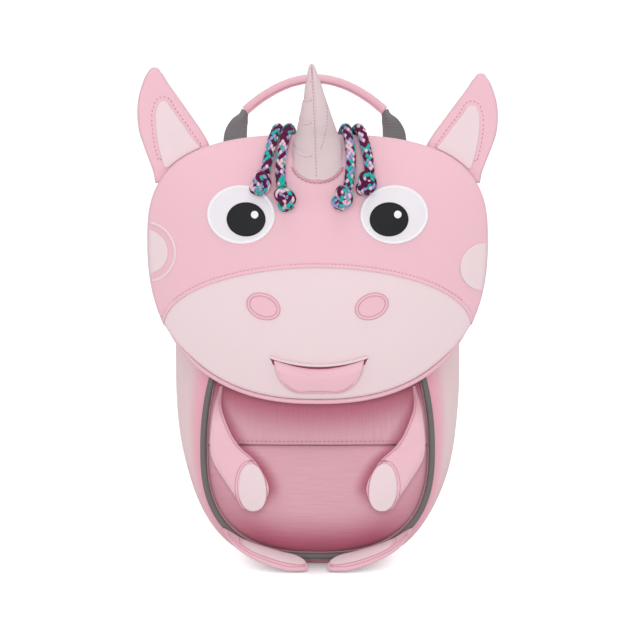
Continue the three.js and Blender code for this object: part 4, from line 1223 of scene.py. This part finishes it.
def makeFront():
    pocketOuter, upper = [], []
    for k in range(61):
        z = mix(panelShape["low"] + 0.05, bag["pocketTop"], (1 - math.cos(math.pi * k / 60)) / 2)
        pocketOuter.append(Vector((halfWidthAt(panelShape, z), z)))
    for k in range(61):
        z = mix(bag["pocketTop"] + sewn, panelShape["high"] - 0.05, (1 - math.cos(math.pi * k / 60)) / 2)
        upper.append(Vector((halfWidthAt(panelShape, z), z)))

    def mirrored(points):
        return [*points, *[Vector((-p.x, p.y)) for p in reversed(points)]]

    def wrinkled(x, z, d):
        # fine level creases and a few slanting pulls near the seam
        fine = 0.16 * wave(x * 0.12, 0, z, 0.55, 2) + 0.3 * wave(x * 0.35, 0, z, 0.09, 4)
        return fine * min(1, d / 6)

    def pocketHeight(d, x, z):
        near = 1 - min(1, d / 3)
        return bag["panelThick"] * math.sqrt(1 - near * near) + wrinkled(x, z, d)

    def panelHeight(d, x, z):
        near = 1 - min(1, d / 2)
        fold = 0.9 * ease(3.2, 0.6, z - bag["pocketTop"] - sewn) if z < 90 else 0
        pulls = 0.22 * wave(x, 0, z * 0.2, 0.35, 8) * ease(110, 84, z)
        return bag["panelThick"] * math.sqrt(1 - near * near) + wrinkled(x, z, d) + pulls * min(1, d / 5) + fold

    wideZ = panelShape["wide"]

    def frontPaintedShade(x, y, z):
        # painted shade: the cloth is darkened under the chin, beside the arms and low down
        bottom = wideZ - (wideZ - panelShape["low"]) * (1 - min(1, abs(x / panelShape["half"])) ** 2.6) ** (1 / 2.6)
        low = ease(27, 2, z - bottom) * (1 - 0.6 * ease(30, 58, abs(x)))
        chin = 0.85 * ease(24, 1, chinZ(x) - z)
        rise = (z - arm["low"]) / (arm["high"] - arm["low"])
        beside = abs(between(armRows, "rise", "inner", clamp(rise)) * arm["out"] - abs(x)) if 0 < rise < 1 else 99
        inside = 0.75 * ease(9, 0, beside) * ease(0, 0.2, rise)
        return max(low, chin, inside)

    pocket = layer("pocket_pad", evenly(mirrored(pocketOuter), count=260, closed=True), (0, 40),
                   lambda x, z: pocketY(x, z) + bag["panelThick"], pocketHeight, rings=60)
    paintedShade(pocket, frontPaintedShade)
    finished(pocket, pocketCloth, ["front_pocket"])
    panel = layer("panel_pad", evenly(mirrored(upper), count=260, closed=True), (0, 118),
                  lambda x, z: panelY(x, z) + bag["panelThick"], panelHeight, rings=44)
    paintedShade(panel, frontPaintedShade)
    finished(panel, panelCloth, ["front_panel"])
    row = [Vector((x, panelY(x, 75.2) - 1.0, 75.2)) for x in [mix(-50, 50, k / 100) for k in range(101)]]
    stitchRow("pocket_stitches", [row], pinkThread, length=1.5, gap=1.1, width=0.4)


def makePiping():
    radius = 1.9
    line = [(p.x, bag["front"] - sewn - radius, p.y) for p in outlineOf(inset(frontShape, -sewn), 220)]
    cord = tube("piping_cord", line, radius, 16, closed=True)
    finished(cord, greyPiping, ["piping"])


makeBag()
makeFront()
makePiping()
print("bag made")

# Ears: double cloth with a pale patch and a dashed stitch round it

ear = {"foot": 225, "leftHeight": 65, "rightHeight": 61.5, "thick": 4, "reach": 105.3}
earRows = [
    {"rise": 0, "outer": 0.9, "inner": 0.6}, {"rise": 0.1, "outer": 0.912, "inner": 0.6},
    {"rise": 0.2, "outer": 0.934, "inner": 0.6}, {"rise": 0.34, "outer": 0.966, "inner": 0.601},
    {"rise": 0.46, "outer": 0.99, "inner": 0.64}, {"rise": 0.6, "outer": 1, "inner": 0.7},
    {"rise": 0.75, "outer": 0.995, "inner": 0.765}, {"rise": 0.89, "outer": 0.972, "inner": 0.827},
    {"rise": 0.97, "outer": 0.951, "inner": 0.857}, {"rise": 1, "outer": 0.936, "inner": 0.874},
]
earPatchRows = [
    {"rise": 0.14, "outer": 0.848, "inner": 0.6}, {"rise": 0.25, "outer": 0.868, "inner": 0.6},
    {"rise": 0.36, "outer": 0.884, "inner": 0.672}, {"rise": 0.52, "outer": 0.896, "inner": 0.742},
    {"rise": 0.64, "outer": 0.896, "inner": 0.797}, {"rise": 0.7, "outer": 0.884, "inner": 0.823},
]


def tableOutline(rows, by, start, span, reach, sign, hidden=None, grow=0.0, count=150):
    # the outline of a flap whose two edges stand in a table, kept outside what hides its root
    outer, inner = [], []
    for k in range(61):
        rise = mix(rows[0][by], rows[-1][by], k / 60)
        z = start + rise * span
        least = hidden(z) if hidden else 0
        a = max(between(rows, by, "outer", rise) * reach + grow, least + sewn)
        b = max(between(rows, by, "inner", rise) * reach - grow, least)
        outer.append(Vector((sign * a, z)))
        inner.append(Vector((sign * min(a - 0.1, b), z)))
    middle, half = (outer[-1] + inner[-1]) / 2, (outer[-1] - inner[-1]) / 2
    turns = [math.pi * k / 10 for k in range(1, 10)]
    tip = [middle + half * math.cos(a) + Vector((0, (0.7 * half.length + 0.5 * grow) * math.sin(a))) for a in turns]
    return evenly([*outer, *tip, *reversed(inner)], count=count, closed=True)


def centreOf(outline):
    return sum(outline, Vector((0, 0))) / len(outline)


def behindHood(z):
    return halfWidthAt(hoodFront, z) + 0.9 if z < hoodFront["high"] else 0


def behindHead(z):
    return halfWidthAt(headShape, z) + 0.6 if z < headShape["high"] else 0


def makeEars():
    def front(x, z):
        return headEdgeY(z) + lid["pad"] + sewn

    for side, sign, height in (("left", -1, ear["leftHeight"]), ("right", 1, ear["rightHeight"])):
        outline = tableOutline(earRows, "rise", ear["foot"], height, ear["reach"], sign, behindHood)
        flap = layer(f"ear_{side}_flap", outline, centreOf(outline), lambda x, z: front(x, z) + ear["thick"],
                     rounded(ear["thick"] - 0.3, 1.6, 0.3), rings=30)
        finished(flap, pinkCloth, [f"ear_{side}"])
        outline = tableOutline(earPatchRows, "rise", ear["foot"], height, ear["reach"], sign, behindHead, count=110)
        patch = layer(f"ear_{side}_inside", outline, centreOf(outline), lambda x, z: front(x, z) - 0.05,
                      rounded(0.6, 0.5), rings=14)
        finished(patch, paleCloth, [f"ear_patch_{side}"])
        around = tableOutline(earPatchRows, "rise", ear["foot"], height, ear["reach"], sign, behindHead, 2.2, 150)
        line = [Vector((p.x, front(p.x, p.y) - 0.05, p.y)) for p in around
                if p.y > ear["foot"] + 0.2 * height and abs(p.x) > behindHead(p.y) + 0.4]
        split = max(range(len(line) - 1), key=lambda k: (line[k + 1] - line[k]).length)
        line = line[split + 1:] + line[:split + 1]
        stitchRow(f"ear_{side}_stitches", [line], pinkThread, length=1.3, gap=1.2, width=0.4)


makeEars()

# Horn: a stuffed cone with a front seam, level quilting stitches and a zigzag round its foot

horn = {"height": 67, "half": 14, "foot": 228, "lean": -3.4, "seat": 0.8, "depth": 0.85}
hornRows = [
    {"rise": 0, "half": 1, "lean": 0, "level": 0}, {"rise": 0.12, "half": 1.02, "lean": 0.02, "level": 0.2},
    {"rise": 0.26, "half": 0.9, "lean": 0.12, "level": 0.55},
    {"rise": 0.4, "half": 0.74, "lean": 0.25, "level": 0.85},
    {"rise": 0.58, "half": 0.54, "lean": 0.45, "level": 1}, {"rise": 0.74, "half": 0.38, "lean": 0.65, "level": 1},
    {"rise": 0.88, "half": 0.23, "lean": 0.85, "level": 1}, {"rise": 0.97, "half": 0.13, "lean": 0.97, "level": 1},
    {"rise": 1, "half": 0.05, "lean": 1, "level": 1},
]
quilting = [0.18, 0.42, 0.64, 0.83]


def hornPoint(rise, angle, out=0.0):
    half, lean, level = (between(hornRows, "rise", key, rise) for key in ("half", "lean", "level"))
    level = clamp(level)
    footMiddle = horn["foot"] + 0.75 * horn["half"]
    middleZ = mix(footMiddle, horn["foot"] + horn["height"], rise)
    reach = half * horn["half"] + out
    tall = mix(0.75 * horn["half"], 0, level) * half + out * (1 - level)
    x = horn["lean"] * lean + reach * math.cos(angle)
    z = middleZ + tall * math.sin(angle)
    seatY = faceY(x, z) - horn["seat"]
    levelY = faceY(0, footMiddle) - horn["seat"] + horn["depth"] * reach * math.sin(angle)
    return Vector((x, mix(seatY, levelY, level), z))


def makeHorn():
    rises = [k / 110 for k in range(111)]
    last = len(rises) + 2

    def place(u, v):
        k = round(v * last)
        angle = 2 * math.pi * u
        if k < 2:
            p, middle = hornPoint(0, angle), Vector((0, 0, horn["foot"] + 0.75 * horn["half"]))
            share = k / 2
            x, z = p.x * share, mix(middle.z, p.z, share)
            return x, faceY(x, z) - horn["seat"], z
        if k == last:
            return hornPoint(1, angle).lerp(hornPoint(1, angle + math.pi), 0.5)
        rise = rises[k - 2]
        # seam down the front, quilting dents on its left, small swellings between
        fromSeam = abs((angle - 1.5 * math.pi + math.pi) % (2 * math.pi) - math.pi)
        dent = 0.75 * math.exp(-(fromSeam / 0.1) ** 2)
        leftSide = ease(0.05, 0.3, (1.5 * math.pi - angle) % (2 * math.pi)) if angle < 1.5 * math.pi else 0
        for line in quilting:
            dent += 0.5 * leftSide * math.exp(-((rise - line) / 0.014) ** 2)
        dent -= 0.35 * wave(math.cos(angle) * 8, math.sin(angle) * 8, rise * 67, 0.12, 11)
        return hornPoint(rise, angle, -dent)

    cone = fromGrid("horn_cone", 96, last, place)
    finished(cone, hornCloth, ["horn"])
    front = 1.5 * math.pi
    seam = [hornPoint(mix(0.03, 0.97, k / 60), front - mix(0.05, 0.13, k / 60), 0.1) for k in range(61)]
    lines = [seam]
    for rise in quilting:
        lines.append([hornPoint(rise - 0.025 * math.sin(math.pi * k / 12), front - 0.2 - 1.25 * k / 12, 0.0)
                      for k in range(13)])
    lines.append([hornPoint(mix(0.22, 0.66, k / 24), front + mix(0.15, 1.35, k / 24), 0.05) for k in range(25)])
    stitchRow("horn_stitches", lines, pinkThread, length=1.2, gap=0.8, width=0.36)
    zigzag = []
    for k in range(30):
        near, far = (hornPoint(0, mix(1.08 * math.pi, 1.92 * math.pi, (k + side) / 30), out)
                     for side, out in ((0, 0.5 if k % 2 else 2.2), (1, 2.2 if k % 2 else 0.5)))
        zigzag.append([onFace(near.x, near.z, 0.35), onFace(far.x, far.z, 0.35)])
    stitchRow("horn_zigzag", [[a, a.lerp(b, 0.5), b] for a, b in zigzag], pinkThread,
              length=1.7, gap=0.2, width=0.5)


makeHorn()
print("ears and horn made")

# Carry handle: a stitched sleeve over webbing whose ends spread on the hood

handle = {"middle": -1.7, "span": 42.6, "top": 283, "foot": 263.4, "y": 43, "tabWidth": 14, "tabThick": 1.6}
# the webbing from the sleeve's end to the hood: where its middle is and how much of its width is open
tabRows = [
    {"v": 0, "x": 42.2, "z": 264, "wide": 0.3}, {"v": 0.15, "x": 43.2, "z": 261, "wide": 0.38},
    {"v": 0.35, "x": 44.6, "z": 258, "wide": 0.62}, {"v": 0.5, "x": 46, "z": 255.4, "wide": 0.78},
    {"v": 0.7, "x": 47.3, "z": 252, "wide": 0.92}, {"v": 0.85, "x": 48.1, "z": 248.5, "wide": 1},
    {"v": 1, "x": 48.5, "z": 243.5, "wide": 1.02},
]


def makeHandle():
    rise = handle["top"] - handle["foot"]
    line = curved([(handle["middle"] + s * handle["span"], handle["y"], handle["foot"] + rise * (1 - abs(s) ** 1.95))
                   for s in [mix(-1, 1, k / 12) for k in range(13)]])

    def section(share, u):
        # flat sleeve with its sewn edge below, puckered a little and cut square at the ends
        pinch = 0.14 * wave(share * 90, math.cos(2 * math.pi * u) * 2, math.sin(2 * math.pi * u) * 2, 0.35, 3)
        seam = 0.4 * math.exp(-((abs((u - 0.36 + 0.5) % 1 - 0.5)) / 0.02) ** 2)
        return 2.85 + pinch - seam, 2.4 + pinch - seam

    cover = tube("handle_cover", evenly(line, 0.6), 2.5, 48, section=section)
    low = [p + Vector((0, -1.9, -1.7)) for p in evenly(line, 0.8)[3:-3]]
    seamTube("handle_seam", [low], seamThread, 0.16)
    finished(cover, pinkCloth, ["handle_sleeve"])
    for side, sign in (("left", -1), ("right", 1)):
        def place(u, v):
            x, z, wide = (between(tabRows, "v", key, v) for key in ("x", "z", "wide"))
            ahead, behind = min(1, v + 0.02), max(0, v - 0.02)
            lean = Vector((between(tabRows, "v", "z", behind) - between(tabRows, "v", "z", ahead), 0,
                           between(tabRows, "v", "x", ahead) - between(tabRows, "v", "x", behind))).normalized()
            across = (u * 2 - 1) * wide * handle["tabWidth"] / 2
            fold = 3.2 * (1 - ease(0.1, 0.75, v)) * (0.5 + 0.5 * math.cos(math.pi * (u * 2 - 1)))
            return Vector((handle["middle"] + sign * (x + lean.x * across), handle["y"] - fold + 1.6 * (1 - v),
                           z + lean.z * across))

        tab = fromGrid(f"handle_{side}_tab", 36, 48, place, closed=False)
        applied(tab, "SOLIDIFY", thickness=handle["tabThick"] * mm, offset=0)
        editAll(tab, facesOut)
        finished(tab, greyWebbing, [f"handle_webbing_{side}"])


makeHandle()

# Arms: padded flaps over the pocket, each with a pale hand patch

hand = {"x": 38, "z": 49.2, "halfWidth": 8.1, "halfHeight": 14, "turn": -4, "rim": 0.4, "seamOff": 1.9}


def armBack(x, z):
    return (pocketY(x, z) if z < bag["pocketTop"] else panelY(x, z)) - arm["off"]


def handOutline(sign, grow=0.0, count=90):
    # egg-shaped, rounder below
    turn = math.radians(sign * hand["turn"])
    c, s = math.cos(turn), math.sin(turn)
    points = []
    for k in range(count * 4):
        a = 2 * math.pi * k / (count * 4)
        x = (hand["halfWidth"] + grow) * power(math.cos(a), 0.93) * (1 - 0.1 * math.sin(a))
        z = (hand["halfHeight"] + grow) * power(math.sin(a), 0.93)
        points.append((sign * hand["x"] + x * c - z * s, hand["z"] + x * s + z * c))
    return evenly(points, count=count, closed=True)


def makeArms():
    for side, sign in (("left", -1), ("right", 1)):
        def place(u, v):
            # round the flap's section: back from outer to inner edge, front from inner to outer
            rise = 1 - v
            outer = between(armRows, "rise", "outer", rise) * arm["out"]
            inner = between(armRows, "rise", "inner", rise) * arm["out"]
            end = math.sqrt(max(0, 1 - (1 - min(1, rise / 0.03)) ** 2))
            middle, half = (outer + inner) / 2, (outer - inner) / 2 * mix(0.3, 1, end)
            angle = 2 * math.pi * u
            across = power(math.cos(angle), 0.75)
            x = middle + half * across
            z = arm["low"] + rise * (arm["high"] - arm["low"])
            d = half - abs(x - middle)
            near = 1 - min(1, d / 1.8)
            lift = math.sqrt(max(0, 1 - near * near)) * (0.5 + 0.5 * end)
            groove = 0.4 * math.exp(-((d - 1.5) / 0.4) ** 2)
            base = armBack(sign * x, z)
            front = math.sin(angle) < 0
            y = base - arm["thick"] / 2 - (arm["thick"] / 2 * lift - groove if front else -arm["thick"] / 2 * lift)
            return sign * x, y, z

        flap = fromGrid(f"arm_{side}_flap", 64, 90, place)
        # painted shade: darker towards the arm's top, under the chin
        paintedShade(flap, lambda x, y, z: 0.75 * ease(84, 105, z))
        palm = layer(f"hand_{side}_patch", handOutline(sign), (sign * hand["x"], hand["z"]),
                     lambda x, z: armBack(x, z) - arm["thick"] + 0.3, rounded(0.7, 0.6), rings=16)
        finished(palm, paleCloth, [f"hand_patch_{side}"])

        def onArm(x, z, off=0.1):
            return Vector((x, armBack(x, z) - arm["thick"] - off, z))

        edge = []
        for k in range(61):
            rise = mix(0.36, 0.93, k / 60)
            inner = between(armRows, "rise", "inner", rise) * arm["out"] + 1.2
            edge.append(onArm(sign * inner, arm["low"] + rise * (arm["high"] - arm["low"]), -0.35))
        around = handOutline(sign, hand["rim"])
        beside = [p for p in handOutline(sign, hand["seamOff"])
                  if sign * p.x > hand["x"] - 0.3 * hand["halfWidth"] and p.y > hand["z"] - 0.5 * hand["halfHeight"]]
        beside.sort(key=lambda p: p.y)
        lines = [[onArm(p.x, p.y, -0.1) for p in [*around, around[0]]], [onArm(p.x, p.y, 0) for p in beside], edge]
        seams = seamTube(f"hand_{side}_seams", lines, seamThread, 0.17)
        puffed(flap, [palm, seams], cell=2, cap=0.8)
        finished(flap, pinkCloth, [f"arm_{side}"])


# Feet: leaf-shaped flaps that fall forward to the floor, pale on top

foot = {"out": 56, "tip": 5.2, "forward": 19, "thick": 4.5, "root": 21, "drop": 2.3, "floor": 0.3}
footRows = [
    {"along": 0, "height": 1, "forward": 0.1, "fall": 0.04},
    {"along": 0.14, "height": 0.83, "forward": 0.42, "fall": 0.12},
    {"along": 0.32, "height": 0.62, "forward": 0.72, "fall": 0.24},
    {"along": 0.52, "height": 0.46, "forward": 0.92, "fall": 0.38},
    {"along": 0.72, "height": 0.33, "forward": 0.98, "fall": 0.55},
    {"along": 0.88, "height": 0.25, "forward": 0.93, "fall": 0.65},
    {"along": 0.97, "height": 0.21, "forward": 0.84, "fall": 0.6},
    {"along": 1, "height": 0.2, "forward": 0.7, "fall": 0.5},
]


def footPoint(sign, along, share, lift):
    height, forward, fall = (between(footRows, "along", key, along) for key in ("height", "forward", "fall"))
    rootY = bag["front"] - 3.8 - 2 * sewn
    beyond = clamp((along - 0.78) / 0.22)
    share = mix(share, 1, 0.85 * (1 - math.sqrt(1 - beyond * beyond)))
    y = rootY - foot["forward"] * mix(0.12 * along, forward, share)
    z = foot["root"] * height * mix(1, 1 - fall, share) - foot["drop"] * ease(0, 0.2, along) * mix(0.3, 1, share)
    return Vector((sign * mix(foot["out"], foot["tip"], along), y, max(foot["floor"], z) + lift))


def onFoot(sign, along, share, off=0.0):
    # on the flap's upper side, which rounds off at both edges
    level = abs(2 * share - 1) ** (1 / 0.7)
    lift = foot["thick"] * (0.5 + 0.5 * max(0, 1 - level * level) ** 0.35)
    return footPoint(sign, along, share, lift + off)


def makeFeet():
    for side, sign in (("left", -1), ("right", 1)):
        def place(u, v):
            angle = 2 * math.pi * u
            share = 0.5 + 0.5 * power(math.cos(angle), 0.7)
            end = math.sqrt(max(0, 1 - abs(2 * v - 1) ** 16))
            lift = 0.5 + 0.5 * power(math.sin(angle), 0.7) * end
            return footPoint(sign, v, mix(0.5, share, mix(0.6, 1, end)), foot["thick"] * lift)

        flap = fromGrid(f"foot_{side}_flap", 56, 90, place)
        # painted shade: darker towards the foot's root at the bag's corner
        paintedShade(flap, lambda x, y, z: 0.35 * ease(48, 56, abs(x)))

        def patchPlace(u, v):
            # from the cross seam to the tip, between the root and the front band
            angle = 2 * math.pi * u
            wide = math.sqrt(max(0, 1 - abs(2 * v - 1) ** 9))
            share = 0.42 + 0.38 * wide * power(math.cos(angle), 0.6)
            return onFoot(sign, mix(0.235, 0.965, v), share, 0.12 + 0.25 * power(math.sin(angle), 0.6) * wide)

        patch = fromGrid(f"foot_{side}_top", 40, 60, patchPlace)
        finished(patch, paleCloth, [f"foot_patch_{side}"])
        band = [[onFoot(sign, mix(0.06, 0.97, k / 60), share) for k in range(61)] for share in (0.84, 0.965)]
        across = [onFoot(sign, 0.22 - 0.02 * math.sin(math.pi * k / 20), mix(0.06, 0.84, k / 20)) for k in range(21)]
        seams = seamTube(f"foot_{side}_seams", [*band, across], seamThread, 0.17)
        puffed(flap, [patch, seams], cell=2, cap=0.5)
        finished(flap, pinkCloth, [f"foot_{side}"])


makeArms()
makeFeet()
print("arms and feet made")

# Back: padded panel with sewn channels, shoulder straps, webbing and sliders

strap = {"width": 30, "thick": 6, "topX": 25, "topZ": 214, "endX": 56, "endZ": 84, "bow": 21}
web = {"width": 15, "thick": 1.6, "endZ": 24}
slider = {"width": 22, "height": 16, "bar": 1.6, "deep": 2.2}
padBack = padHigh.y


def makeBack():
    shape = {**backShape, "half": padHigh.x, "low": padLow.z, "high": padHigh.z, "up": 2.6}
    around, inward, flat = 220, 60, 3
    outline = outlineOf(shape, around)
    middle = Vector((0, backShape["wide"]))
    thick = padHigh.y - padLow.y

    def place(u, v):
        # front face, rounded edge, quilted back face
        k = round(v * inward)
        p = outline[round(u * around) % around]
        share = k / (flat - 1) if k < flat else 1 - ((k - flat) / (inward - flat)) ** 1.6
        q = middle.lerp(p, share)
        if k < flat:
            return q.x, padLow.y, q.y
        d = max(0, 1 - outlineShare(shape, q.x, q.y)) * shape["half"]
        near = 1 - min(1, d / 4)
        tall = thick * math.sqrt(1 - near * near)
        border = math.exp(-((d - 9) / 1.1) ** 2)
        channel = sum(math.exp(-((q.y - z) / 1.2) ** 2) for z in (70, 118, 166)) if d > 9 else 0
        tall -= 2.2 * max(border, min(1, channel))
        return q.x, padLow.y + tall, q.y

    pad = fromGrid("back_pad", around, inward, place)
    puffed(pad, cell=4, cap=1.2)
    finished(pad, sideCloth, ["back_panel"])


def strapPoint(sign, share):
    rest = padBack + sewn + strap["thick"] / 2
    swing = math.sin(math.pi * min(1, share * 0.92 + 0.08) ** 1.1)
    y = rest + strap["bow"] * max(0, swing) ** 0.8 * ease(-0.02, 0.1, share)
    x = mix(strap["topX"], strap["endX"], math.sin(math.pi / 2 * share))
    return Vector((sign * x, y, mix(strap["topZ"], strap["endZ"], share)))


def makeStraps():
    for side, sign in (("left", -1), ("right", 1)):
        line = evenly([strapPoint(sign, k / 200) for k in range(201)], 1.6)
        count = len(line) - 1

        def place(u, v):
            k = round(v * count)
            before, after = line[max(0, k - 1)], line[min(count, k + 1)]
            along = (after - before).normalized()
            across = along.cross(Vector((0, 1, 0))).normalized()
            out = across.cross(along).normalized()
            angle = 2 * math.pi * u
            end = math.sqrt(max(0, 1 - abs(2 * k / count - 1) ** 40))
            a, b = power(math.cos(angle), 0.5), power(math.sin(angle), 0.7)
            groove = 0.7 * math.exp(-((abs(a) - 0.8) / 0.035) ** 2)
            return line[k] + across * a * strap["width"] / 2 * mix(0.85, 1, end) + out * b * (
                strap["thick"] / 2 * mix(0.35, 1, end) - groove)

        pad = fromGrid(f"strap_{side}_pad", 72, count, place)
        puffed(pad, cell=3, cap=0.8)
        finished(pad, pinkCloth, [f"shoulder_strap_{side}"])
        end = strapPoint(sign, 1)
        sliderTop = end.z - 0.3 * strap["thick"] - sewn
        ring = ovalOutline(end.x, sliderTop - slider["height"] / 2, slider["width"] / 2 - slider["bar"],
                           slider["height"] / 2 - slider["bar"], count=72, fullness=7)
        frameLine = [(p.x, end.y, p.y) for p in ring]
        loop = tube(f"slider_{side}_frame", frameLine, slider["bar"], 12, closed=True,
                    section=lambda s, u: (slider["bar"], slider["deep"]))
        finished(loop, greyPlastic, [f"strap_slider_{side}"])
        webTop = sliderTop - slider["height"] - 1.5
        anchorY = padBack + sewn + web["thick"] / 2

        def webPlace(u, v):
            y = mix(end.y, anchorY, math.sin(math.pi / 2 * v))
            x = end.x - sign * 6 * v + (u - 0.5) * web["width"]
            return x, y, mix(webTop, web["endZ"], v)

        tape = fromGrid(f"strap_{side}_web", 24, 60, webPlace, closed=False)
        applied(tape, "SOLIDIFY", thickness=web["thick"] * mm, offset=0)
        finished(tape, greyWebbing, [f"strap_webbing_{side}"])


makeBack()
makeStraps()
print("back made")
